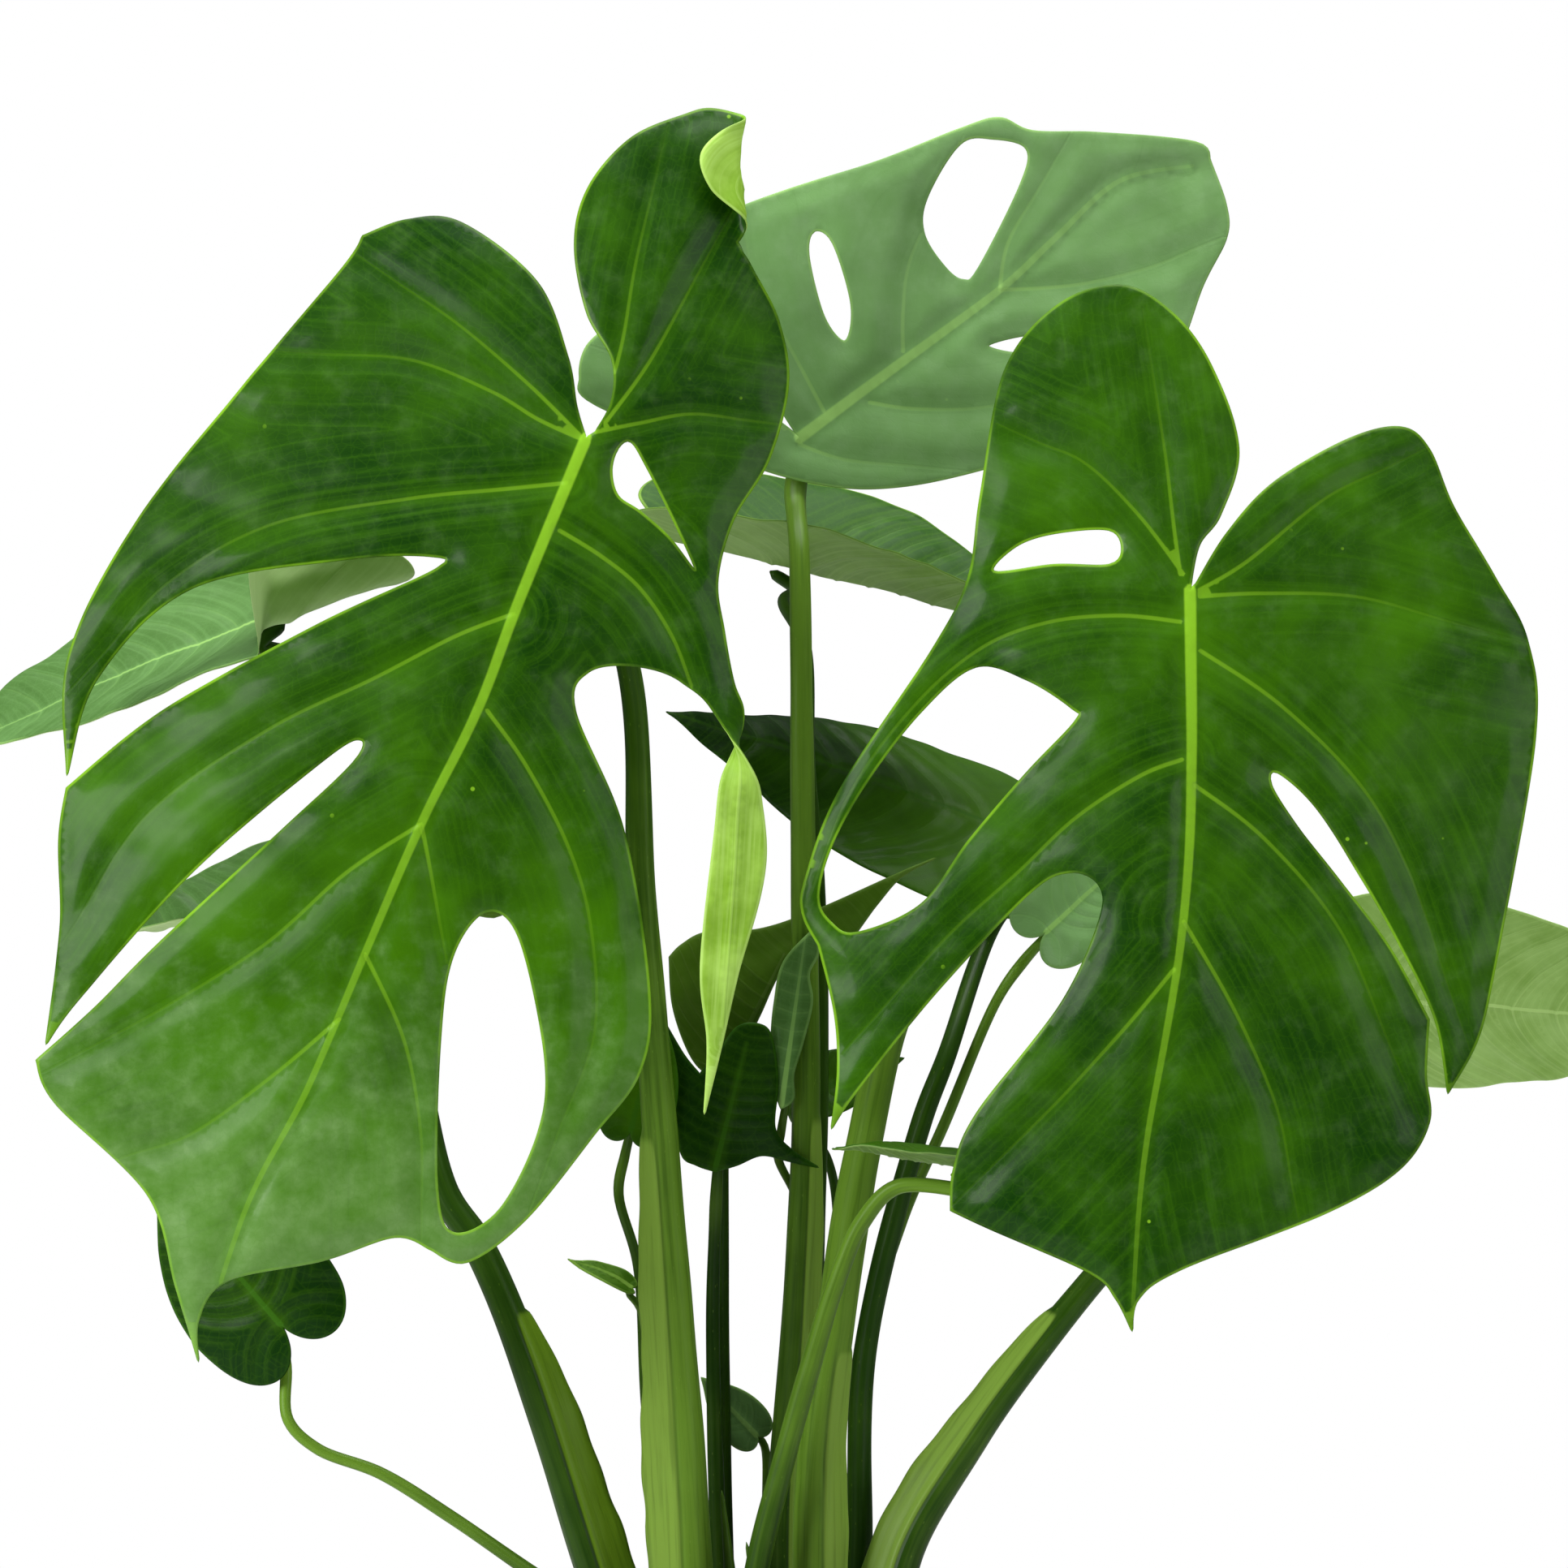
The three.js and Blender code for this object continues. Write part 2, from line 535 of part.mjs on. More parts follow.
const stalks = {
  stalk_front_left: {
    leaf: 'leaf_front_left',
    via: [[-28, -12, SEAT_GAP], [-30, -14, 46], [-32, -16, 83], [-38, -22, 169],
      [-45, -34, 262], [-49, -45, 334]],
    radii: [8, 2.8],
    join: [[-7, -19], [-4, -10]],
    sheath: { side: 180, reach: 8, up: 0.46 },
  },
  stalk_front_right: {
    leaf: 'leaf_front_right',
    via: [[11, -10, SEAT_GAP], [11, -12, 83], [17, -15, 130], [25, -18, 180], [37, -22, 227],
      [58, -30, 257], [92, -42, 307]],
    radii: [8, 3],
    join: [[-2, -18], [0, -3]],
    sheath: { side: 0, reach: 4, up: 0.3 },
  },
  stalk_back_top: {
    leaf: 'leaf_back_top',
    via: [[0, 12, SEAT_GAP], [0, 12, 67], [4, 11, 119], [7, 10, 189], [6, 10, 288],
      [5, 24, 370]],
    radii: [6, 3],
    join: [[-1, -14], [3, 1]],
    sheath: { side: 0, reach: 4, up: 0.45 },
  },
  stalk_back_middle: {
    leaf: 'leaf_back_middle',
    via: [[6, 34, SEAT_GAP], [8, 34, 46], [10, 33, 125], [12, 33, 205], [11, 33, 265],
      [8, 25, 303], [7, 34, 340], [0, 68, 357]],
    radii: [3, 2],
    join: [[0, -12], [0, -2]],
  },
  stalk_back_dark: {
    leaf: 'leaf_back_dark',
    via: [[20, 16, SEAT_GAP], [24, 15, 46], [26, 16, 113], [44, 16, 187], [52, 20, 208],
      [70, 62, 253]],
    radii: [4.5, 2.4],
  },
  stalk_far_left: {
    leaf: 'leaf_far_left',
    via: [[-47, 5, SEAT_GAP], [-61, 2, 46], [-84, 5, 116], [-98, 10, 148], [-110, 15, 167],
      [-123, 27, 236], [-127, 27, 290], [-140, 2, 333]],
    radii: [7, 2.2],
    join: [[0, -12], [0, -2]],
    sheath: { side: 0, reach: 9, up: 0.33 },
  },
  stalk_left_behind: {
    leaf: 'leaf_left_behind',
    via: [[-26, 30, SEAT_GAP], [-30, 24, 46], [-34, 16, 125], [-41, 12, 195], [-54, -4, 227],
      [-72, -16, 250], [-88, -24, 259]],
    radii: [2.6, 1.6],
  },
  stalk_low_left: {
    leaf: 'leaf_low_left',
    via: [[-38, -32, SEAT_GAP], [-52, -34, 30], [-78, -38, 47], [-105, -42, 66],
      [-127, -45, 80], [-147, -47, 88], [-156, -47, 97]],
    radii: [2.6, 1.6],
    join: [[9, 10], [1, -2]],
  },
  stalk_far_right: {
    leaf: 'leaf_far_right',
    via: [[36, -4, SEAT_GAP], [37, -2, 46], [61, 6, 88], [98, 18, 135], [140, 32, 180]],
    radii: [7, 2.4],
    sheath: { side: 180, reach: 7, up: 0.5 },
  },
  stalk_centre_dark: {
    leaf: 'leaf_centre_dark',
    via: [[-19, 14, SEAT_GAP], [-21, 14, 46], [-23, 14, 125]],
    radii: [3.4, 1.6],
    join: [[0, -14], [1, 4]],
  },
  stalk_centre_olive: {
    leaf: 'leaf_centre_olive',
    via: [[-18, 24, SEAT_GAP], [-19, 24, 46], [-20, 23, 125]],
    radii: [3, 1.8],
    join: [[0, -12], [1, 6]],
  },
  stalk_young_folded: {
    leaf: 'leaf_young_folded',
    via: [[2, 25, SEAT_GAP], [3, 23, 67], [6, 22, 119], [5, 21, 160], [-2, 13, 177]],
    radii: [2, 1.2],
    join: [[0, -8], [2, 4]],
  },
  stalk_right_gap: {
    leaf: 'leaf_right_gap',
    via: [[26, 30, SEAT_GAP], [27, 30, 115], [38, 30, 155], [52, 30, 187], [69, 30, 227]],
    radii: [2.6, 1.5],
  },
  stalk_right_small: {
    leaf: 'leaf_right_small',
    via: [[-14, -28, SEAT_GAP], [-9, -28, 46], [0, -30, 83], [9, -32, 115], [16, -34, 138],
      [25, -36, 159], [36, -39, 170]],
    radii: [4.6, 2],
  },
  stalk_behind: {
    leaf: 'leaf_behind_stalk',
    via: [[-34, 20, SEAT_GAP], [-38, 14, 46], [-44, 6, 95], [-47, 3, 143], [-53, 1, 166]],
    radii: [2.2, 1.4],
    join: [[0, 8], [0, -2]],
  },
  stalk_small_back: {
    leaf: 'leaf_small_back',
    via: [[15, 48, SEAT_GAP], [15, 50, 46], [18, 52, 145], [14, 52, 175]],
    radii: [2.2, 1.3],
    join: [[0, 8], [0, -2]],
  },
  stalk_low_small: {
    leaf: 'leaf_low_small',
    via: [[-8, 38, SEAT_GAP], [-6, 36, 55]],
    radii: [1.8, 1.2],
    join: [[0, 6], [0, -1]],
  },
  stalk_left_sliver: {
    leaf: 'leaf_left_sliver',
    via: [[-30, 4, SEAT_GAP], [-37, 1, 46], [-43, -1, 110]],
    radii: [1.8, 1.1],
    join: [[0, 6], [0, -1]],
  },
  bud_scale_left: {
    via: [[-15, 0, SEAT_GAP], [-17, -1, 40], [-20, -2, 71]],
    radii: [4, 0.6],
  },
  bud_scale_front: {
    via: [[-3, -13, SEAT_GAP], [-7, -16, 30], [-12, -19, 56]],
    radii: [3.5, 0.6],
  },
};

addMesh('pot', makePot(), POT_COLOUR, 0.6);
addMesh('soil', makeSoil(), SOIL_COLOUR, 0.95);
for (const [name, leaf] of Object.entries(leaves)) {
  addMesh(name, bladeGeometry(leaf).translate(0, 0, SOIL_TOP), LEAF_COLOUR, 0.35);
}
for (const [name, stalk] of Object.entries(stalks)) {
  addMesh(name, stalkGeometry(stalk).translate(0, 0, SOIL_TOP), STALK_COLOUR, 0.45);
}

export default plant;
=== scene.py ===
"""A potted monstera: split leaves on long stalks, potting soil and a plain nursery pot.

Tables are in millimetres, as the CAD part's are; meshes are made in metres.
"""

import math

import bpy
import numpy as np
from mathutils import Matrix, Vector
from mathutils.geometry import delaunay_2d_cdt


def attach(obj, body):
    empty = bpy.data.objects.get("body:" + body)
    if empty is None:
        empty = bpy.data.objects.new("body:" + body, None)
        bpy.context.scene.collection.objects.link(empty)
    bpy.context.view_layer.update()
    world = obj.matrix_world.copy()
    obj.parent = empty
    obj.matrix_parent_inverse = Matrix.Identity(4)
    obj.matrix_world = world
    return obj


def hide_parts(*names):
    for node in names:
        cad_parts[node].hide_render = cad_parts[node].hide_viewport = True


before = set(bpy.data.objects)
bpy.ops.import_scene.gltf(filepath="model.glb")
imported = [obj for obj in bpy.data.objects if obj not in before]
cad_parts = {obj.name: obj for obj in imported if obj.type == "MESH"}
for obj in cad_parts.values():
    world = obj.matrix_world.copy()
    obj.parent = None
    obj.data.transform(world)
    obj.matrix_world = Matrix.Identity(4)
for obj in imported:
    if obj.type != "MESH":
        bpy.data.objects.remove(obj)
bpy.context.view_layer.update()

MM = 0.001
POT_HEIGHT = 190
RIM_RADIUS = 105
FOOT_RADIUS = 76
POT_WALL = 2.5
POT_FLOOR = 4
RIM_BAND = 16
RIM_PROUD = 4
SOIL_TOP = 175
SOIL_GAP = 0.3
DRAIN_RADIUS = 6
DRAIN_RING = 48
DRAIN_COUNT = 6
SEAT_GAP = 0.3
CAD_BLADE = 1.2
STALK_GAP = 0.6
STALK_CURL = 4
PLAIN_JOIN = (0, 12, 0, -2)
NO_SHEATH = (0, 0, 1)
BLADE = 0.9
RIM_ROUND = 0.35

# Half widths of a large leaf's midrib and side veins, at their start and end, and how far past its
# drawn end a side vein runs on.
MIDRIB_WIDTH = (2.3, 0.7)
VEIN_WIDTH = (0.85, 0.35)
VEIN_RUN_ON = 26
TWIST_REACH = 14

# ---------------------------------------------------------------- the plant's tables
#
# A leaf is drawn flat from where its stalk meets it: u to the right and v upwards, facing its top.
# `at` is that meeting point, `tip` where the tip points, `face` where the top faces, and `form`
# how the flat blade is bent. Outlines are runs of u and v in turn that meet in corners. All heights
# are above the soil.

LEAVES = {
    "leaf_front_left": {
        "at": [-61.7, -72, 404.7],
        "tip": [0, 0, -1],
        "face": [0, -1, 0],
        "form": {"rib": [-118, -285], "rise": 0.3, "arch": 6, "vee": -0.12, "droop": 9},
        "outline": [
            [-3, 10, -6, 26, -16, 50, -40, 69, -57, 70, -71, 65],
            [-77, 55, -106, 19, -140, -25, -161, -68, -161, -105],
            [-152, -75, -123, -47, -75, -38, -48, -37, -46, -41, -82, -58, -131, -85, -161, -109],
            [-163, -125, -162, -152, -166, -188],
            [-155, -173, -120, -134, -80, -100, -69, -94, -71, -101, -93, -122, -130, -156, -151,
                -177, -169, -193],
            [-163, -206, -134, -234, -125, -262, -118, -285],
            [-118, -272, -109, -260, -80, -254, -58, -247, -47, -251],
            [-36, -255, -18, -242, 3, -216, 17, -197, 20, -172, 12, -122, -3, -85, 1, -73, 15,
                -71, 30, -76, 40, -90, 36, -131, 45, -168, 50, -190, 55, -210],
            [54, -188, 56, -163, 51, -115, 50, -88, 46, -76, 43, -60, 41, -44, 46, -25, 57, -6,
                63, 18, 60, 38, 52, 54, 47, 63],
            [53, 71, 63, 80, 66, 91, 55, 101, 40, 106, 30, 104, 13, 96, 0, 80, -4, 62, 0, 40, 8,
                25, 8, 12, 3, 2],
            [0, 0],
        ],
        "holes": [
            [10, -3, 14, -1, 19, -9, 28, -27, 34, -41, 26, -31, 17, -23, 10, -18, 8, -10],
            [-45, -232, -44, -185, -40, -160, -30, -147, -20, -155, -12, -192, -14, -215, -26,
                -239, -40, -246],
        ],
        "twists": [{"u": 46, "top": -75, "length": 40, "turn": 180}],
        "rolls": [{"at": [46, 82], "toward": 0, "radius": 3, "turn": 165, "span": 26}],
    },
    "leaf_front_right": {
        "at": [126.8, -65, 357.6],
        "tip": [0, 0, -1],
        "face": [0, -1, 0],
        "form": {"rib": [-19, -230], "rise": 0.25, "arch": 7, "vee": -0.1, "droop": 7},
        "outline": [
            [3, 14, 10, 24, 16, 45, 8, 71, -4, 88, -20, 97, -40, 91, -57, 70, -65, 30, -69, 4,
                -80, -18, -109, -62, -120, -90, -121, -101, -116, -111],
            [-111, -132, -110, -150, -112, -168],
            [-104, -156, -80, -126, -51, -95, -38, -88, -29, -92, -29, -103, -41, -129, -67, -163,
                -74, -180, -75, -193],
            [-62, -199, -32, -212, -24, -220, -19, -230],
            [-17, -220, -4, -211, 41, -194, 64, -181, 74, -166, 73, -151, 74, -134],
            [62, -112, 47, -92, 33, -74, 25, -61, 27, -57, 39, -68, 53, -90, 65, -111, 76, -134,
                80, -157],
            [90, -139, 97, -109, 109, -45, 107, -16, 97, 4, 84, 27, 77, 45, 68, 52, 51, 48, 27,
                34, 12, 18, 2, 2],
            [0, 0],
        ],
        "holes": [
            [-61, 6, -54, 14, -42, 18, -25, 19, -21, 13, -25, 8, -42, 8],
            [-67, -24, -51, -28, -37, -37, -36, -41, -51, -57, -69, -78, -84, -98, -104, -107,
                -112, -104, -116, -96, -112, -80, -101, -60, -84, -38],
        ],
    },
    "leaf_back_top": {
        "at": [5, 45, 409.7],
        "tip": [0, 0, -1],
        "face": [0, -1, 0],
        "form": {"rib": [132, 91], "rise": -0.3, "arch": 3, "vee": 0.15, "droop": 5},
        "outline": [
            [-6, 5, -40, 29, -57, 36, -68, 30, -71, 19, -66, 10, -22, -7, 6, -15, 30, -16, 59,
                -10, 97, 3, 122, 25, 134, 53, 142, 69, 142, 80, 137, 95],
            [132, 101, 99, 103, 77, 103, 66, 107, 53, 103, 27, 92, -5, 81, -25, 72, -37, 59, -38,
                45, -28, 30, -12, 17, -2, 3],
            [0, 0],
        ],
        "holes": [
            [5, 68, 11, 64, 17, 44, 15, 32, 8, 40, 3, 60],
            [53, 98, 64, 100, 75, 97, 73, 85, 59, 57, 54, 53, 48, 57, 41, 68, 42, 80],
            [62, 31, 70, 34, 79, 35, 73, 29],
        ],
    },
    "leaf_centre_olive": {
        "at": [-20, 23, 202],
        "tip": [0, 0, -1],
        "face": [0, 1, 0],
        "form": {"rib": [-20, 40], "arch": -2, "vee": 0.05},
        "outline": [
            [7, 3, 12, 11, 16, 24, 17, 39],
            [13, 43, 5, 47, -12, 48, -30, 54, -57, 66, -69, 71],
            [-58, 65, -50, 56, -39, 42, -31, 42],
            [-20, 36, -12, 20, -6, 8, 0, 0],
        ],
    },
    "leaf_centre_dark": {
        "at": [-22, -1, 174],
        "tip": [0, 0, -1],
        "face": [0, -1, 0],
        "form": {"rib": [10, 40], "arch": 3, "vee": -0.15},
        "outline": [
            [-6, 1, -11, 5, -13, 22, -16, 46],
            [-10, 36, -5, 30],
            [0, 36, 7, 45, 14, 46, 18, 42, 20, 28, 19, 13, 24, 6, 33, 0],
            [24, 2, 15, 4, 7, 1, 0, -1],
        ],
    },
    "leaf_young_folded": {
        "at": [-1, 2, 193],
        "tip": [0, 0, -1],
        "face": [0, -1, 0],
        "form": {"rib": [8, 56], "rise": 0, "arch": -2, "vee": -0.3},
        "outline": [
            [-2, 7, -3, 21, -2, 34, 1, 47, 11, 58],
            [12, 50, 9, 43, 10, 34, 7, 21, 4, 11, 4, 3, 0, 0],
        ],
    },
}

# Unsplit leaves are hearts: where the stalk meets the leaf, where the tip points, where the top
# faces, the midrib's bow, fold and length, then the heart's length, width and lobes.
HEARTS = {
    "leaf_back_middle": ([-6, 88, 371], [1, 0, -0.22], [0, -0.2, 1], 5, 0.5, 100, 104, 92, 50),
    "leaf_back_dark": (
        [80, 86, 279], [-117, -12, 47], [0.3, -0.52, 0.85], 4, -0.15, 126, 126, 95, 25),
    "leaf_far_left": (
        [-158, -20, 352], [-125, 5, -46], [-0.3, -0.4, 0.87], 4, 0.15, 130, 130, 90, 48),
    "leaf_left_behind": ([-104, -30, 262], [-110, 0, -9], [0, -0.28, 1], 3, 0.4, 122, 122, 86, 20),
    "leaf_low_left": (
        [-158, -50, 127], [-41, 2, 47], [-0.1, -0.95, -0.1], 12, -0.1, 63, 62, 51, 14),
    "leaf_far_right": ([178, 45, 228], [135, 5, -6], [0.1, 0.75, 0.65], 5, 0.1, 135, 135, 84, 28),
    "leaf_right_gap": ([85, 30, 249], [30, 0, 28], [-0.2, -0.95, 0.25], 6, 0.1, 46, 46, 34, 8),
    "leaf_right_small": ([55, -45, 177], [-37, 0, 6], [0, -0.05, 1], 6, 0.3, 40, 40, 30, 8),
    "leaf_behind_stalk": ([-49, -2, 186], [9, 2, 36], [0, -1, 0], 6, 0.1, 40, 40, 24, 5),
    "leaf_small_back": ([9, 47, 197], [28, 2, 10], [-0.2, -0.8, 0.6], 6, 0.1, 32, 32, 24, 6),
    "leaf_low_small": ([-9, 30, 86], [-13, -3, 14], [0.1, -1, 0.1], 6, 0.1, 26, 26, 16, 3),
    "leaf_left_sliver": ([-49, -4, 136], [-19, -2, 9], [0.3, -0.6, 0.8], 6, 0.1, 22, 22, 10, 2),
}
for name, (at, tip, face, arch, vee, rib, length, width, back) in HEARTS.items():
    LEAVES[name] = {
        "at": at, "tip": tip, "face": face,
        "form": {"rib": [0, -rib], "arch": arch, "vee": vee},
        "heart": {"length": length, "width": width, "back": back},
    }
LEAVES["leaf_far_left"]["rolls"] = [
    {"at": [12, 26], "toward": 0, "radius": 9, "turn": 150, "span": 36},
]

# A stalk passes through its `via` points, given as x, y and height in turn. `radii` are its ends',
# `join` is the u and v where it curls in under its leaf and where it ends, and `sheath` its wing's
# side in degrees, how far it stands out and how much of the stalk it covers.
STALKS = {
    "stalk_front_left": {
        "leaf": "leaf_front_left", "radii": (8, 2.8), "join": (-7, -19, -4, -10),
        "sheath": (180, 8, 0.46),
        "via": (-28, -12, SEAT_GAP, -30, -14, 46, -32, -16, 83, -38, -22, 169, -45, -34, 262, -49,
            -45, 334),
    },
    "stalk_front_right": {
        "leaf": "leaf_front_right", "radii": (8, 3), "join": (-2, -18, 0, -3),
        "sheath": (0, 4, 0.3),
        "via": (11, -10, SEAT_GAP, 11, -12, 83, 17, -15, 130, 25, -18, 180, 37, -22, 227, 58, -30,
            257, 92, -42, 307),
    },
    "stalk_back_top": {
        "leaf": "leaf_back_top", "radii": (6, 3), "join": (-1, -14, 3, 1), "sheath": (0, 4, 0.45),
        "via": (0, 12, SEAT_GAP, 0, 12, 67, 4, 11, 119, 7, 10, 189, 6, 10, 288, 5, 24, 370),
    },
    "stalk_back_middle": {
        "leaf": "leaf_back_middle", "radii": (3, 2), "join": (0, -12, 0, -2),
        "via": (6, 34, SEAT_GAP, 8, 34, 46, 10, 33, 125, 12, 33, 205, 11, 33, 265, 8, 25, 303, 7,
            34, 340, 0, 68, 357),
    },
    "stalk_back_dark": {
        "leaf": "leaf_back_dark", "radii": (4.5, 2.4),
        "via": (20, 16, SEAT_GAP, 24, 15, 46, 26, 16, 113, 44, 16, 187, 52, 20, 208, 70, 62, 253),
    },
    "stalk_far_left": {
        "leaf": "leaf_far_left", "radii": (7, 2.2), "join": (0, -12, 0, -2),
        "sheath": (0, 9, 0.33),
        "via": (-47, 5, SEAT_GAP, -61, 2, 46, -84, 5, 116, -98, 10, 148, -110, 15, 167, -123, 27,
            236, -127, 27, 290, -140, 2, 333),
    },
    "stalk_left_behind": {
        "leaf": "leaf_left_behind", "radii": (2.6, 1.6),
        "via": (-26, 30, SEAT_GAP, -30, 24, 46, -34, 16, 125, -41, 12, 195, -54, -4, 227, -72,
            -16, 250, -88, -24, 259),
    },
    "stalk_low_left": {
        "leaf": "leaf_low_left", "radii": (2.6, 1.6), "join": (9, 10, 1, -2),
        "via": (-38, -32, SEAT_GAP, -52, -34, 30, -78, -38, 47, -105, -42, 66, -127, -45, 80,
            -147, -47, 88, -156, -47, 97),
    },
    "stalk_far_right": {
        "leaf": "leaf_far_right", "radii": (7, 2.4), "sheath": (180, 7, 0.5),
        "via": (36, -4, SEAT_GAP, 37, -2, 46, 61, 6, 88, 98, 18, 135, 140, 32, 180),
    },
    "stalk_centre_dark": {
        "leaf": "leaf_centre_dark", "radii": (3.4, 1.6), "join": (0, -14, 1, 4),
        "via": (-19, 14, SEAT_GAP, -21, 14, 46, -23, 14, 125),
    },
    "stalk_centre_olive": {
        "leaf": "leaf_centre_olive", "radii": (3, 1.8), "join": (0, -12, 1, 6),
        "via": (-18, 24, SEAT_GAP, -19, 24, 46, -20, 23, 125),
    },
    "stalk_young_folded": {
        "leaf": "leaf_young_folded", "radii": (2, 1.2), "join": (0, -8, 2, 4),
        "via": (2, 25, SEAT_GAP, 3, 23, 67, 6, 22, 119, 5, 21, 160, -2, 13, 177),
    },
    "stalk_right_gap": {
        "leaf": "leaf_right_gap", "radii": (2.6, 1.5),
        "via": (26, 30, SEAT_GAP, 27, 30, 115, 38, 30, 155, 52, 30, 187, 69, 30, 227),
    },
    "stalk_right_small": {
        "leaf": "leaf_right_small", "radii": (4.6, 2),
        "via": (-14, -28, SEAT_GAP, -9, -28, 46, 0, -30, 83, 9, -32, 115, 16, -34, 138, 25, -36,
            159, 36, -39, 170),
    },
    "stalk_behind": {
        "leaf": "leaf_behind_stalk", "radii": (2.2, 1.4), "join": (0, 8, 0, -2),
        "via": (-34, 20, SEAT_GAP, -38, 14, 46, -44, 6, 95, -47, 3, 143, -53, 1, 166),
    },
    "stalk_small_back": {
        "leaf": "leaf_small_back", "radii": (2.2, 1.3), "join": (0, 8, 0, -2),
        "via": (15, 48, SEAT_GAP, 15, 50, 46, 18, 52, 145, 14, 52, 175),
    },
    "stalk_low_small": {
        "leaf": "leaf_low_small", "radii": (1.8, 1.2), "join": (0, 6, 0, -1),
        "via": (-8, 38, SEAT_GAP, -6, 36, 55),
    },
    "stalk_left_sliver": {
        "leaf": "leaf_left_sliver", "radii": (1.8, 1.1), "join": (0, 6, 0, -1),
        "via": (-30, 4, SEAT_GAP, -37, 1, 46, -43, -1, 110),
    },
    "bud_scale_left": {
        "radii": (4, 0.6),
        "via": (-15, 0, SEAT_GAP, -17, -1, 40, -20, -2, 71),
    },
    "bud_scale_front": {
        "radii": (3.5, 0.6),
        "via": (-3, -13, SEAT_GAP, -7, -16, 30, -12, -19, 56),
    },
}

# Veins drawn on the three split leaves, u and v in turn: the midrib, then the side veins.
VEINS = {
    "leaf_front_left": (
        [0, 0, -20, -50, -33, -85, -50, -120, -68, -162, -85, -202, -103, -237, -118, -283],
        [
            [-2, 0, -15, 6, -30, 15, -55, 25, -83, 27],
            [-2, 1, -18, 17, -40, 36, -60, 50],
            [-5, -14, -25, -16, -55, -19, -98, -27, -130, -45, -150, -67],
            [-22, -55, -40, -62, -65, -75, -98, -91, -135, -117, -158, -152],
            [-50, -120, -73, -135, -98, -157, -130, -177, -158, -192],
            [-75, -180, -95, -197, -120, -215, -140, -222],
            [-8, -29, 5, -37, 17, -47, 27, -62, 34, -80, 43, -102, 46, -140, 49, -180],
            [-30, -85, -18, -102, -5, -127, 2, -152, 3, -185, -8, -215],
            [-50, -120, -47, -135, -44, -152],
            [-67, -160, -55, -187, -50, -215, -50, -240],
            [3, 2, 17, 5, 33, 8, 52, 6],
            [6, 5, 20, 25, 37, 57],
            [5, 7, 11, 30, 15, 55, 20, 78],
        ],
    ),
    "leaf_front_right": (
        [0, 0, 0, -23, 0, -51, -1, -81, -4, -111, -9, -141, -14, -168, -17, -193, -19, -226],
        [
            [-2, 5, -16, 24, -32, 40, -47, 47],
            [-3, 5, -5, 22, -7, 42, -10, 64],
            [-3, -10, -22, -8, -44, -10, -65, -18, -86, -36, -106, -63, -119, -96],
            [-3, -53, -16, -58, -36, -71, -54, -88, -76, -108, -101, -136],
            [-6, -118, -21, -136, -41, -158, -61, -178],
            [3, -2, 23, -1, 53, -2, 83, -10],
            [3, 0, 18, 9, 43, 29, 63, 39],
            [3, -19, 28, -36, 53, -61, 68, -88, 81, -126],
            [1, -61, 23, -78, 46, -106, 62, -143],
            [-3, -103, 13, -131, 26, -161, 31, -186],
        ],
    ),
    "leaf_back_top": (
        [0, 0, 17, 13, 33, 25, 66, 50, 84, 67, 106, 87, 131, 93],
        [
            [34, 29, 34, 42, 36, 58, 44, 77],
            [8, 9, 0, 24, -7, 37, -15, 53, -18, 68],
            [-1, 1, -12, 7, -28, 16, -49, 23],
            [23, 12, 38, 10, 62, 11, 91, 19],
            [66, 50, 69, 66, 81, 87],
            [66, 50, 91, 52, 115, 58, 134, 66],
            [0, -2, 15, -7, 38, -9],
        ],
    ),
}


# How fresh, from 0 to 1, a leaf's green is beside its stalk, at its tip and underneath, and a
# stalk's at the soil and at the leaf. For leaves the tone is partly painted light:
# leaf_front_left's rise from 0.24 to 0.92 paints a sheen that grows towards its tip, and an
# underside below 0.5 is painted shade.
TONES = {
    "leaf_front_left": (0.24, 0.92, 0.6), "leaf_front_right": (0.40, 0.25, 0.5),
    "leaf_centre_olive": (0.0, 0.0, 0.0), "leaf_centre_dark": (0.15, 0.15, 0.15),
    "leaf_back_middle": (0.0, 0.0, 0.35), "leaf_back_dark": (0.75, 0.15, 0.5),
    "leaf_far_left": (0.25, 0.2, 0.9), "leaf_young_folded": (0.0, 0.0, 0.0),
    "leaf_left_behind": (0.0, 0.1, 0.5), "leaf_low_left": (0.0, 0.0, 0.3),
    "leaf_back_top": (0.75, 0.6, 0.5), "leaf_right_gap": (0.85, 0.85, 0.5),
}
STALK_TONES = {
    "stalk_front_left": (0.95, 0.25), "stalk_front_right": (0.75, 1.0),
    "stalk_back_top": (0.25, 0.95), "stalk_back_dark": (0.25, 0.3),
    "stalk_far_left": (0.45, 0.2), "stalk_far_right": (0.3, 0.15),
    "stalk_right_small": (0.15, 1.0), "stalk_centre_dark": (0.25, 0.1),
    "stalk_right_gap": (0.35, 0.6), "stalk_low_left": (0.35, 0.9), "stalk_behind": (0.3, 0.3),
}
PLAIN_TONES = (0.5, 0.5, 0.5)
PLAIN_STALK_TONES = (0.4, 0.4)

# ---------------------------------------------------------------- curves and distances


def smooth(t):
    """Runs from 0 to 1 with level ends: 3t^2 - 2t^3 between them."""
    t = np.clip(t, 0, 1)
    return t * t * (3 - 2 * t)


def bell(x, width):
    """A bump 1 high at 0 that fades with the square of x: exp(-(x / width)^2)."""
    return np.exp(-((x / width) ** 2))


def in_rows(numbers, size=2):
    """Rows of that size from numbers listed in turn."""
    return np.array(numbers, float).reshape(-1, size)


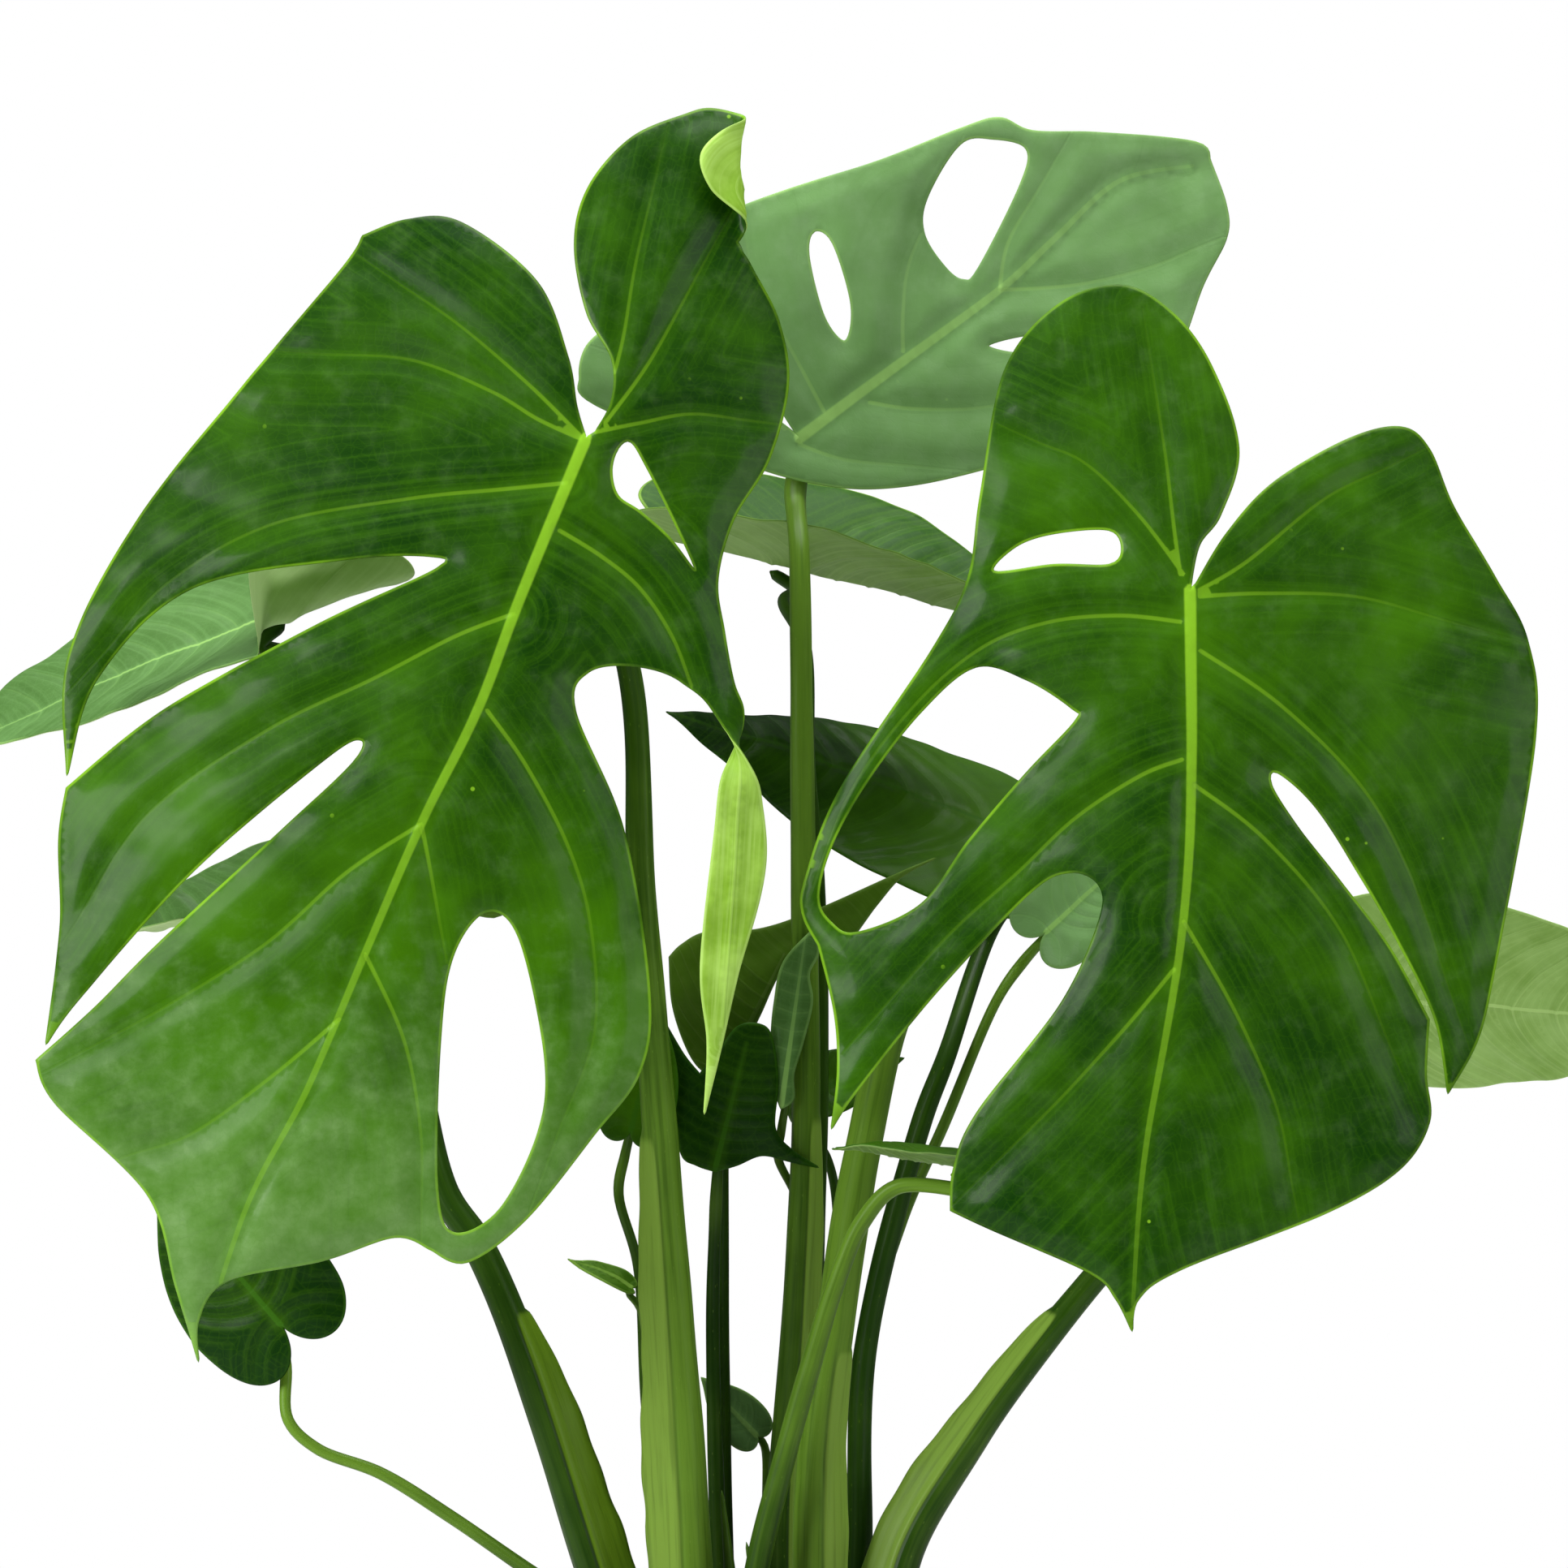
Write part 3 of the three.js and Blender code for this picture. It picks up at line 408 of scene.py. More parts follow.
def uniform_spline(knots, step, closed=False):
    """Points about `step` apart on the cubic through the knots whose slope at each knot is half the
    way from the knot before to the knot after. Open curves use their end knots twice."""
    knots = np.array(knots, float)
    if closed:
        ring = np.concatenate([knots[-1:], knots, knots[:2]])
    else:
        ring = np.concatenate([knots[:1], knots, knots[-1:]])
    a, b, c, d = ring[:-3], ring[1:-2], ring[2:-1], ring[3:]
    pieces = []
    for p0, p1, p2, p3 in zip(a, b, c, d):
        count = max(2, math.ceil(np.linalg.norm(p2 - p1) / step))
        t = np.arange(count)[:, None] / count
        v0, v1 = (p2 - p0) / 2, (p3 - p1) / 2
        pieces.append(
            (2 * p1 - 2 * p2 + v0 + v1) * t**3
            + (3 * p2 - 3 * p1 - 2 * v0 - v1) * t**2
            + v0 * t
            + p1
        )
    if not closed:
        pieces.append(knots[-1:])
    return np.concatenate(pieces)


def centripetal_spline(knots):
    """Points on the smooth curve through knots in space whose pace is the root of each chord, so
    that it never loops between close knots. The ends run on as straight mirror images."""
    knots = np.array(knots, float)
    ends = [2 * knots[:1] - knots[1:2], knots, 2 * knots[-1:] - knots[-2:-1]]
    ring = np.concatenate(ends)
    pieces = []
    for p0, p1, p2, p3 in zip(ring[:-3], ring[1:-2], ring[2:-1], ring[3:]):
        d0, d1, d2 = (math.sqrt(np.linalg.norm(q - p)) for p, q in ((p0, p1), (p1, p2), (p2, p3)))
        v0 = d1 * ((p1 - p0) / d0 - (p2 - p0) / (d0 + d1) + (p2 - p1) / d1)
        v1 = d1 * ((p2 - p1) / d1 - (p3 - p1) / (d1 + d2) + (p3 - p2) / d2)
        t = np.arange(40)[:, None] / 40
        pieces.append(
            (2 * p1 - 2 * p2 + v0 + v1) * t**3
            + (3 * p2 - 3 * p1 - 2 * v0 - v1) * t**2
            + v0 * t
            + p1
        )
    pieces.append(knots[-1:])
    return np.concatenate(pieces)


def evenly(points, step):
    """The same line with its points `step` apart, and each one's distance from the start."""
    gaps = np.linalg.norm(np.diff(points, axis=0), axis=1)
    run = np.concatenate([[0], np.cumsum(gaps)])
    count = max(3, math.ceil(run[-1] / step) + 1)
    along = np.linspace(0, run[-1], count)
    return np.stack([np.interp(along, run, points[:, k]) for k in range(points.shape[1])], 1), along


def closest(points, starts, ends):
    """For each point, the distance to the nearest of many straight pieces, which piece that is and
    how far along it, 0 to 1. The foot of the perpendicular is kept between the piece's ends."""
    span = ends - starts
    size = np.maximum((span**2).sum(1), 1e-12)
    found = []
    lots = len(points) * len(starts) // 3_000_000 + 1
    for lot in np.array_split(points, lots):
        offset = lot[:, None, :] - starts[None]
        part = np.clip((offset * span).sum(2) / size, 0, 1)
        gap = np.linalg.norm(offset - part[..., None] * span, axis=2)
        which = gap.argmin(1)
        row = np.arange(len(lot))
        found.append(np.stack([gap[row, which], which, part[row, which]], 1))
    found = np.concatenate(found)
    return found[:, 0], found[:, 1].astype(int), found[:, 2]


def within(points, ring):
    """True where a level line from the point crosses the closed ring an odd number of times."""
    a, b = ring, np.roll(ring, -1, 0)
    rise = np.where(b[:, 1] == a[:, 1], 1e-12, b[:, 1] - a[:, 1])
    found = []
    for lot in np.array_split(points, len(points) * len(ring) // 4_000_000 + 1):
        x, y = lot[:, :1], lot[:, 1:]
        spans = (a[:, 1] > y) != (b[:, 1] > y)
        cross = a[:, 0] + (y - a[:, 1]) / rise * (b[:, 0] - a[:, 0])
        found.append((spans & (x < cross)).sum(1) % 2 == 1)
    return np.concatenate(found)


def inside_rings(points, rings):
    """True inside the first closed ring and outside all the others, which are holes in it."""
    kept = within(points, rings[0])
    for ring in rings[1:]:
        kept &= ~within(points, ring)
    return kept


def triangulated(points, edges, rings, grain):
    """A flat mesh of triangles through the points and along the edges, without the triangles whose
    middle lies outside the rings. Points within `grain` of each other become one."""
    done = delaunay_2d_cdt([Vector(p) for p in points.tolist()], edges.tolist(), [], 0, grain)
    flat, triangles = np.array([tuple(p) for p in done[0]]), np.array(done[2])
    return flat, triangles[inside_rings(flat[triangles].mean(1), rings)]


def open_edges(triangles, total):
    """Edges that belong to one triangle only, each running the way its triangle runs."""
    directed = np.concatenate([triangles[:, [0, 1]], triangles[:, [1, 2]], triangles[:, [2, 0]]])
    keys = directed[:, 0] * total + directed[:, 1]
    return directed[~np.isin(keys, directed[:, 1] * total + directed[:, 0])]


def circle(count):
    """Points evenly round a circle of radius 1, from the x axis on."""
    turn = np.linspace(0, 2 * math.pi, count, endpoint=False)
    return np.column_stack([np.cos(turn), np.sin(turn)])


def ripple(points, scale, seed):
    """A smooth random height between about -1 and 1: seven plane waves of random heading, phase and
    length near `scale`, added up."""
    rng = np.random.default_rng(seed)
    heading = rng.normal(size=(7, points.shape[1]))
    heading /= np.linalg.norm(heading, axis=1, keepdims=True)
    rate = 2 * math.pi / (scale * rng.uniform(0.7, 1.6, 7))
    phase = rng.uniform(0, 2 * math.pi, 7)
    return np.sin(points @ (heading * rate[:, None]).T + phase).sum(1) / 3.5


# ---------------------------------------------------------------- meshes and pieces


def make_piece(name, nodes, points, faces, finishes, shades=(), notes=None):
    """One mesh object in metres from points in mm and lists of faces, each a row of corners.
    `shades` gives each list's finish and `notes` the named numbers kept at each point."""
    mesh = bpy.data.meshes.new(name)
    mesh.vertices.add(len(points))
    mesh.vertices.foreach_set("co", (np.asarray(points, float) * MM).ravel())
    corners = np.concatenate([np.asarray(f).ravel() for f in faces])
    sizes = np.concatenate([np.full(len(f), np.asarray(f).shape[1]) for f in faces])
    mesh.loops.add(len(corners))
    mesh.loops.foreach_set("vertex_index", corners.astype(np.int32))
    mesh.polygons.add(len(sizes))
    mesh.polygons.foreach_set("loop_start", (np.cumsum(sizes) - sizes).astype(np.int32))
    mesh.polygons.foreach_set("use_smooth", np.ones(len(sizes), bool))
    shades = shades or [0] * len(faces)
    index = np.concatenate([np.full(len(f), k) for f, k in zip(faces, shades)])
    for finish in finishes:
        mesh.materials.append(finish)
    mesh.polygons.foreach_set("material_index", index.astype(np.int32))
    for key, value in (notes or {}).items():
        value = np.asarray(value, float)
        if value.ndim == 1:
            mesh.attributes.new(key, "FLOAT", "POINT").data.foreach_set("value", value)
        else:
            kept = mesh.attributes.new(key, "FLOAT_VECTOR", "POINT")
            kept.data.foreach_set("vector", value.ravel())
    mesh.update(calc_edges=True)
    made = bpy.data.objects.new(name, mesh)
    bpy.context.scene.collection.objects.link(made)
    if nodes:
        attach(made, "root")
        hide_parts(*nodes)
    return made


def grid_faces(rows, around, closed=True):
    """Corner numbers of the squares between rows of `around` points, wrapping if closed."""
    columns = np.arange(around if closed else around - 1)
    i, k = np.meshgrid(np.arange(rows - 1), columns, indexing="ij")
    a = i * around + k
    b = i * around + (k + 1) % around
    return np.stack([a, b, b + around, a + around], -1).reshape(-1, 4)


def fan_faces(centre, ring, flip):
    """Triangles from one point to a closed ring of corner numbers."""
    following = np.roll(ring, -1)
    middle = np.full(len(ring), centre)
    return np.stack([middle, following, ring] if flip else [middle, ring, following], 1)


# ---------------------------------------------------------------- shader maths


class Value:
    """A number socket that Python's operators act on; each operation adds one Math node."""

    def __init__(self, finish, socket):
        self.finish = finish
        self.socket = socket

    def math(self, operation, *others):
        made = self.finish.node("ShaderNodeMath", {"operation": operation}, self, *others)
        return Value(self.finish, made.outputs[0])

    def __add__(self, other):
        return self.math("ADD", other)

    def __sub__(self, other):
        return self.math("SUBTRACT", other)

    def __rsub__(self, other):
        made = self.finish.node("ShaderNodeMath", {"operation": "SUBTRACT"}, other, self)
        return Value(self.finish, made.outputs[0])

    def __mul__(self, other):
        return self.math("MULTIPLY", other)

    def __truediv__(self, other):
        return self.math("DIVIDE", other)

    __radd__ = __add__
    __rmul__ = __mul__

    def sine(self):
        return self.math("SINE")

    def above(self, floor):
        return self.math("MAXIMUM", floor)

    def below(self, ceiling):
        return self.math("MINIMUM", ceiling)

    def step(self, start, end):
        """0 up to `start`, 1 from `end`, and smooth between; the other way if start > end."""
        low, high, first, last = (start, end, 0, 1) if start < end else (end, start, 1, 0)
        made = self.finish.node(
            "ShaderNodeMapRange", {"interpolation_type": "SMOOTHSTEP"}, self, low, high, first, last
        )
        return Value(self.finish, made.outputs[0])


class Finish:
    """One material, built up from nodes."""

    def __init__(self, name):
        self.material = bpy.data.materials.new(name)
        self.material.use_nodes = True
        self.tree = self.material.node_tree
        self.tree.nodes.clear()

    def node(self, kind, settings, *values, **named):
        """A node of that kind: settings first, then its sockets in order, then those by name."""
        made = self.tree.nodes.new(kind)
        for key, value in settings.items():
            setattr(made, key, value)
        for key, value in [*enumerate(values), *named.items()]:
            socket = made.inputs[key.replace("_", " ") if isinstance(key, str) else key]
            if isinstance(value, Value):
                self.tree.links.new(value.socket, socket)
            elif isinstance(value, bpy.types.NodeSocket):
                self.tree.links.new(value, socket)
            elif value is not None:
                socket.default_value = value
        return made

    def noted(self, name):
        """A number kept at the mesh's points."""
        made = self.node("ShaderNodeAttribute", {"attribute_name": name})
        return Value(self, made.outputs["Fac"])

    def noted_vector(self, name):
        return self.node("ShaderNodeAttribute", {"attribute_name": name}).outputs["Vector"]

    def place(self):
        return self.node("ShaderNodeTexCoord", {}).outputs["Object"]

    def scaled(self, vector, scale):
        made = self.node("ShaderNodeMapping", {}, vector)
        made.inputs["Scale"].default_value = scale
        return made.outputs[0]

    def beside(self, distance, vector, scale):
        """A place whose x is a distance in mm and which drifts slowly with a vector: noise read
        here runs in streaks along lines of equal distance."""
        line = self.node("ShaderNodeCombineXYZ", {}, distance).outputs[0]
        drift = self.scaled(vector, (scale, scale, scale))
        return self.node("ShaderNodeVectorMath", {"operation": "ADD"}, line, drift).outputs[0]

    def noise(self, vector, scale, detail=2.0, rough=0.5):
        made = self.node(
            "ShaderNodeTexNoise", {}, Vector=vector, Scale=scale, Detail=detail, Roughness=rough
        )
        return Value(self, made.outputs["Fac"])

    def cells(self, vector, scale, feature="F1"):
        made = self.node("ShaderNodeTexVoronoi", {"feature": feature}, Vector=vector, Scale=scale)
        return Value(self, made.outputs["Distance"])

    def blend(self, mask, first, second):
        """The first colour where the mask is 0, the second where it is 1."""
        made = self.node("ShaderNodeMix", {"data_type": "RGBA"})
        for key, value in ((0, mask), (6, first), (7, second)):
            if isinstance(value, Value):
                self.tree.links.new(value.socket, made.inputs[key])
            elif isinstance(value, bpy.types.NodeSocket):
                self.tree.links.new(value, made.inputs[key])
            elif key == 0:
                made.inputs[key].default_value = value
            else:
                made.inputs[key].default_value = (*value, 1)
        return made.outputs[2]

    def surface(self, colour, rough, height=None, coat=None, **fixed):
        """The shader itself. The height is in mm and goes through one Bump node."""
        shader = self.node("ShaderNodeBsdfPrincipled", {}, Base_Color=colour, Roughness=rough)
        if coat is not None:
            self.node_input(shader, "Coat Weight", coat)
        if height is not None:
            bump = self.node("ShaderNodeBump", {}, Strength=1.0, Distance=MM, Height=height)
            self.tree.links.new(bump.outputs[0], shader.inputs["Normal"])
        for key, value in fixed.items():
            shader.inputs[key.replace("_", " ")].default_value = value
        output = self.node("ShaderNodeOutputMaterial", {})
        self.tree.links.new(shader.outputs[0], output.inputs[0])
        return self.material

    def node_input(self, shader, key, value):
        if isinstance(value, Value):
            self.tree.links.new(value.socket, shader.inputs[key])
        else:
            shader.inputs[key].default_value = value


def leaf_top(name, deep, fresh, dust_and_sheen, vein, gloss, rough):
    """The upper skin. Colour drifts between a deep and a fresh green in soft patches, set by a tone
    that is partly painted light, and in streaks beside the side veins; it is paler along the veins,
    which fade towards the rim, and palest on the rim itself. A painted highlight lightens the green
    beside the side veins and the midrib. Pale grey-green blotches are partly dust and partly
    painted sheen, strongest where the tone is freshest."""
    f = Finish(name)
    drawn = f.noted_vector("drawn")
    rib, side, flow, rim = (f.noted(key) for key in ("rib", "side", "flow", "rim"))
    fade, rib_fade, tone = (f.noted(key) for key in ("fade", "rib_fade", "tone"))
    patches = f.noise(drawn, 0.022, 3, 0.55)
    blotch = f.noise(drawn, 0.11, 4, 0.6)
    grain = f.noise(drawn, 0.9, 3, 0.6)
    streaks = f.noise(f.beside(flow * 0.42, drawn, 0.012), 1.0, 3, 0.6)
    # The tone picks deep or fresh green; on some leaves it is painted light, such as the sheen that
    # grows towards leaf_front_left's tip.
    colour = f.blend((patches * 1.3 - 0.65 + tone).step(0.0, 1.0), deep, fresh)
    colour = f.blend((streaks - 0.42).step(0.0, 0.35) * 0.32, colour, fresh)
    colour = f.blend((0.46 - streaks).step(0.0, 0.25) * 0.22, colour, deep)
    # Blotches are partly dust and partly painted sheen; where the tone is freshest the paleness is
    # painted sheen.
    greyer = (blotch - 0.45).step(0.0, 0.45) * 0.12 + (tone + blotch * 0.5).step(0.8, 1.3) * 0.50
    colour = f.blend(greyer, colour, dust_and_sheen)
    net = f.cells(drawn, 0.30, "DISTANCE_TO_EDGE").step(0.09, 0.0) * rib.step(1, 2)
    colour = f.blend(net * 0.10, colour, fresh)
    # Painted highlight: lighter green beside the side veins and the midrib, where the swelling
    # blade catches the light.
    vein_highlight = side.step(6.0, 0.8) * fade * 0.36 + rib.step(3.5, 0.8) * 0.25
    colour = f.blend(vein_highlight, colour, fresh)
    colour = f.blend(side.step(1.1, 0.4) * (fade * fade * 0.44 + 0.02), colour, vein)
    colour = f.blend(rib.step(1.0, 0.62) * (rib_fade * 0.72 + 0.14), colour, vein)
    colour = f.blend(rim.step(0.75, 0.15) * (patches - 0.3).step(0.0, 0.4) * 0.75, colour, vein)
    some = (f.noise(drawn, 0.03, 1) - 0.2).step(0.30, 0.42)
    specks = f.cells(drawn, 0.06).step(0.05, 0.03) * some
    colour = f.blend(specks * 0.7, colour, vein)
    height = streaks * 0.05 + net * -0.012 + grain * 0.012 + side.step(1.6, 0.3) * -0.06
    coat = (blotch * 0.25 + 0.62 - rib.step(1.6, 0.8) * 0.25).below(1.0) * gloss
    skin = rough + (blotch - 0.5) * 0.16 + (streaks - 0.5) * 0.12 + rib.step(1.3, 0.8) * 0.12
    fixed = {"Coat_Roughness": 0.18, "Specular_IOR_Level": 0.07}
    return f.surface(colour, skin.below(0.9), height, coat, **fixed)


def leaf_under(name, shade, base, pale, vein):
    """The underside: paler and duller than the top, with the veins standing out of it. Where its
    tone is low it turns towards the shade colour, a painted shade.
    """
    f = Finish(name)
    drawn = f.noted_vector("drawn")
    rib, side, flow, rim = (f.noted(key) for key in ("rib", "side", "flow", "rim"))
    fade, tone = f.noted("fade"), f.noted("tone")
    blotch = f.noise(drawn, 0.05, 4, 0.6)
    grain = f.noise(drawn, 1.0, 3, 0.6)
    streaks = f.noise(f.beside(flow * 0.5, drawn, 0.015), 1.0, 3, 0.6)
    colour = f.blend((blotch * 1.8 - 0.4).step(0.1, 0.9), base, pale)
    colour = f.blend((streaks - 0.45).step(0.0, 0.3) * 0.45, colour, vein)
    colour = f.blend((0.47 - streaks).step(0.0, 0.25) * 0.35, colour, base)
    colour = f.blend(side.step(1.3, 0.5) * (fade * 0.5 + 0.08), colour, vein)
    colour = f.blend(rib.step(1.15, 0.75) * 0.8, colour, vein)
    colour = f.blend(rim.step(0.7, 0.15) * 0.5, colour, vein)
    # Painted shade: a low tone darkens the underside towards the shade colour.
    colour = f.blend(tone.step(0.5, 0.0) * 0.8, colour, shade)
    height = streaks * 0.10 + grain * 0.012 + side.step(1.4, 0.3) * 0.12
    skin = (0.5 + (grain - 0.5) * 0.12 + (blotch - 0.5) * 0.1).below(0.9)
    return f.surface(colour, skin, height, None, Specular_IOR_Level=0.1)


def stalk_skin(name, deep, fresh, wing, rough=0.36):
    """A stalk's rind: streaks along its fibres, a paler sheath, a fine painted shadow line along
    each edge of the sheath and tiny pale pores."""
    f = Finish(name)
    fibre = f.noted_vector("fibre")
    flange, shaded_seam, knee, tone = (f.noted(key) for key in ("flange", "shaded_seam", "knee", "tone"))
    long_streaks = f.noise(f.scaled(fibre, (1.0, 1.0, 0.03)), 0.5, 3, 0.6)
    hair_streaks = f.noise(f.scaled(fibre, (1.0, 1.0, 0.02)), 2.6, 2, 0.6)
    cloud = f.noise(fibre, 0.035, 3, 0.5)
    pores = f.cells(f.scaled(fibre, (1.0, 1.0, 0.35)), 0.55).step(0.13, 0.05)
    shade = tone + (cloud - 0.5) * 0.5 + (long_streaks - 0.5) * 0.55
    colour = f.blend(shade.step(0.0, 1.0), deep, fresh)
    colour = f.blend((hair_streaks * 2.4 - 0.9).step(0.2, 0.9) * 0.14, colour, deep)
    colour = f.blend(pores * 0.3, colour, wing)
    colour = f.blend(flange.step(0.04, 0.3) * 0.85, colour, wing)
    colour = f.blend((0.52 - long_streaks).step(0.0, 0.22) * 0.30, colour, deep)
    # Painted shadow: a dark line along each edge of the sheath, over its groove.
    colour = f.blend(shaded_seam * 0.35, colour, tuple(c * 0.35 for c in deep))
    colour = f.blend(knee * 0.45, colour, fresh)
    height = long_streaks * 0.10 + hair_streaks * 0.03 + pores * 0.02 - shaded_seam * 0.10
    skin = (rough + (long_streaks - 0.5) * 0.2 + (1 - flange) * 0.02).below(0.9)
    coat = (cloud * 0.5 + 0.15).below(0.6)
    fixed = {"Coat_Roughness": 0.25, "Specular_IOR_Level": 0.1}
    return f.surface(colour, skin, height, coat * 0.18, **fixed)


def pot_plastic():
    """Moulded plastic: near-black, finely grained, with faint turned rings and dusty patches."""
    f = Finish("pot plastic")
    place = f.place()
    grain = f.noise(place, 900, 3, 0.6)
    rings = f.noise(f.scaled(place, (0.02, 0.02, 1.0)), 700, 1, 0.5)
    dust = f.noise(place, 22, 5, 0.62)
    streak = f.noise(f.scaled(place, (1.0, 1.0, 0.12)), 60, 4, 0.6)
    greyer = (dust * 1.6 - 0.3).step(0.15, 0.9) * 0.6
    colour = f.blend(greyer, (0.018, 0.019, 0.020), (0.040, 0.041, 0.041))
    colour = f.blend((streak - 0.5).step(0.05, 0.3) * 0.25, colour, (0.085, 0.080, 0.070))
    skin = (0.42 + (dust - 0.5) * 0.2 + grain * 0.08).below(0.9)
    return f.surface(colour, skin, grain * 0.05 + rings * 0.03, None, IOR=1.48)


def soil_crumb():
    """Damp potting soil: dark brown crumbs of several sizes with paler fibres between them."""
    f = Finish("potting soil")
    place = f.place()
    lumps = f.cells(place, 210)
    crumbs = f.cells(place, 520)
    fibre = f.noise(f.scaled(place, (1.0, 0.25, 1.0)), 620, 4, 0.7)
    damp = f.noise(place, 30, 4, 0.6)
    colour = f.blend(lumps.step(0.1, 0.75), (0.030, 0.017, 0.009), (0.012, 0.008, 0.005))
    colour = f.blend(crumbs.step(0.5, 0.1) * 0.4, colour, (0.060, 0.036, 0.018))
    colour = f.blend((fibre - 0.55).step(0.04, 0.16) * 0.5, colour, (0.110, 0.070, 0.038))
    skin = (0.95 - (damp - 0.45).step(0, 0.3) * 0.25).below(1.0)
    height = (1 - lumps) * 0.9 + (1 - crumbs) * 0.45 + fibre * 0.3
    return f.surface(colour, skin, height, None, IOR=1.4)


def bark_chip():
    """Bark: layered red-brown with dark cracks along the grain."""
    f = Finish("bark chips")
    place = f.place()
    layers = f.noise(f.scaled(place, (1.0, 1.0, 3.5)), 160, 4, 0.65)
    cracks = f.cells(f.scaled(place, (1.0, 0.4, 1.0)), 300, "DISTANCE_TO_EDGE")
    paler = (layers * 2 - 0.5).step(0.1, 0.9)
    colour = f.blend(paler, (0.060, 0.027, 0.012), (0.190, 0.098, 0.048))
    colour = f.blend(cracks.step(0.08, 0.0) * 0.8, colour, (0.020, 0.010, 0.006))
    return f.surface(colour, 0.85 + (layers - 0.5) * 0.2, layers * 0.8 + cracks * 0.5, None)


def perlite_grain():
    """Perlite: chalky white with small pits and soil dust in them."""
    f = Finish("perlite")
    place = f.place()
    pits = f.cells(place, 900)
    dust = f.noise(place, 260, 3, 0.6)
    colour = f.blend((dust - 0.45).step(0, 0.25) * 0.6, (0.74, 0.72, 0.67), (0.32, 0.25, 0.18))
    return f.surface(colour, 0.9 + (dust - 0.5) * 0.1, pits * 0.5, None)


def floor_paint():
    """Pale matt floor with a barely visible mottle."""
    f = Finish("pale floor")
    place = f.place()
    mottle = f.noise(place, 3.5, 5, 0.6)
    colour = f.blend(mottle.step(0.3, 0.7), (0.76, 0.76, 0.75), (0.80, 0.80, 0.79))
    return f.surface(colour, 0.75 + (mottle - 0.5) * 0.15, f.noise(place, 300, 2) * 0.05, None)


# ---------------------------------------------------------------- leaf blades


def twisted(p, u, top, length, turn):
    """Points right of TWIST_REACH left of the upright line x = u turn about it, by an angle that
    grows smoothly from 0 at `top` to `turn` degrees `length` lower."""
    angle = math.radians(turn) * smooth((top - p[:, 1]) / length)
    turns = (p[:, 0] >= u - TWIST_REACH) & (angle > 0)
    out, lift = p[:, 0] - u, p[:, 2]
    made = p.copy()
    made[:, 0] = np.where(turns, u + out * np.cos(angle) + lift * np.sin(angle), p[:, 0])
    made[:, 2] = np.where(turns, -out * np.sin(angle) + lift * np.cos(angle), p[:, 2])
    return made


def rolled(p, at, toward, radius, turn, span):
    """What lies past a straight line wraps round a cylinder of that radius on the line, by `turn`
    degrees in the middle of its span and less towards both ends, and runs on straight."""
    heading = math.radians(toward)
    dx, dy = math.cos(heading), math.sin(heading)
    past = (p[:, 0] - at[0]) * dx + (p[:, 1] - at[1]) * dy
    along = -(p[:, 0] - at[0]) * dy + (p[:, 1] - at[1]) * dx
    turns = (past > 0) & (np.abs(along) <= span)
    most = math.radians(turn) * smooth((span - np.abs(along)) / (0.4 * span))
    angle = np.minimum(past / radius, most)
    rest = past - radius * angle
    reach = (radius - p[:, 2]) * np.sin(angle) + rest * np.cos(angle)
    made = p.copy()
    made[:, 2] = radius - (radius - p[:, 2]) * np.cos(angle) + rest * np.sin(angle)
    made[:, 0] = at[0] + reach * dx - along * dy
    made[:, 1] = at[1] + reach * dy + along * dx
    return np.where(turns[:, None], made, p)


def stand_out(x, y, rib, rise=0, arch=0, vee=0, droop=0):
    """How far the bent blade stands out of its drawing: a slope along the rib less a bow that grows
    with the square of the way along, a fold about the rib, and a droop with the square across."""
    length = math.hypot(*rib)
    along = (x * rib[0] + y * rib[1]) / length
    across = (x * rib[1] - y * rib[0]) / length
    side = np.sqrt(across * across + 9) - 3
    return rise * along - arch * (along / 100) ** 2 - droop * (across / 100) ** 2 + vee * side


def leaf_axes(tip, face):
    """Rows that point along the drawing's u, v and w."""
    down = np.array(tip, float)
    down /= np.linalg.norm(down)
    w = np.array(face, float)
    w -= w.dot(down) * down
    w /= np.linalg.norm(w)
    return np.array([np.cross(-down, w), -down, w])


def leaf_points(leaf, p):
    """Drawn points with a lift, bent by twists, rolls and the blade's form, and put in place."""
    for twist in leaf.get("twists", []):
        p = twisted(p, **twist)
    for roll in leaf.get("rolls", []):
        p = rolled(p, **roll)
    p = p.copy()
    p[:, 2] += stand_out(p[:, 0], p[:, 1], **leaf["form"])
    at = np.array(leaf["at"], float) + (0, 0, SOIL_TOP)
    return at + p @ leaf_axes(leaf["tip"], leaf["face"])


def drawn_outline(runs, step):
    """The closed outline: smooth runs that meet in corners, each starting where the last ended."""
    last = runs[-1][-2:]
    parts = []
    for run in runs:
        parts.append(uniform_spline(in_rows([*last, *run]), step)[:-1])
        last = run[-2:]
    return np.concatenate(parts)


def heart_outline(length, width, back, step):
    """A heart from two cubic Bezier arcs a side: round the back lobe, then in to the drawn tip."""
    half = width / 2
    widest = (half, -0.22 * length)
    arcs = [
        [(0, 0), (0.12 * half, 1.3 * back), (half, 1.3 * back), widest],
        [widest, (half, -0.6 * length), (0.25 * half, -0.82 * length), (0, -length)],
    ]
    t = np.linspace(0, 1, 60)[:, None]
    s = 1 - t
    right = []
    for a, b, c, d in np.array(arcs, float):
        right.append(a * s**3 + 3 * b * t * s**2 + 3 * c * t * t * s + d * t**3)
    right = np.concatenate([right[0], right[1][1:]])
    right, _ = evenly(right, step)
    left = right[1:-1][::-1] * [-1, 1]
    return np.concatenate([right, left])


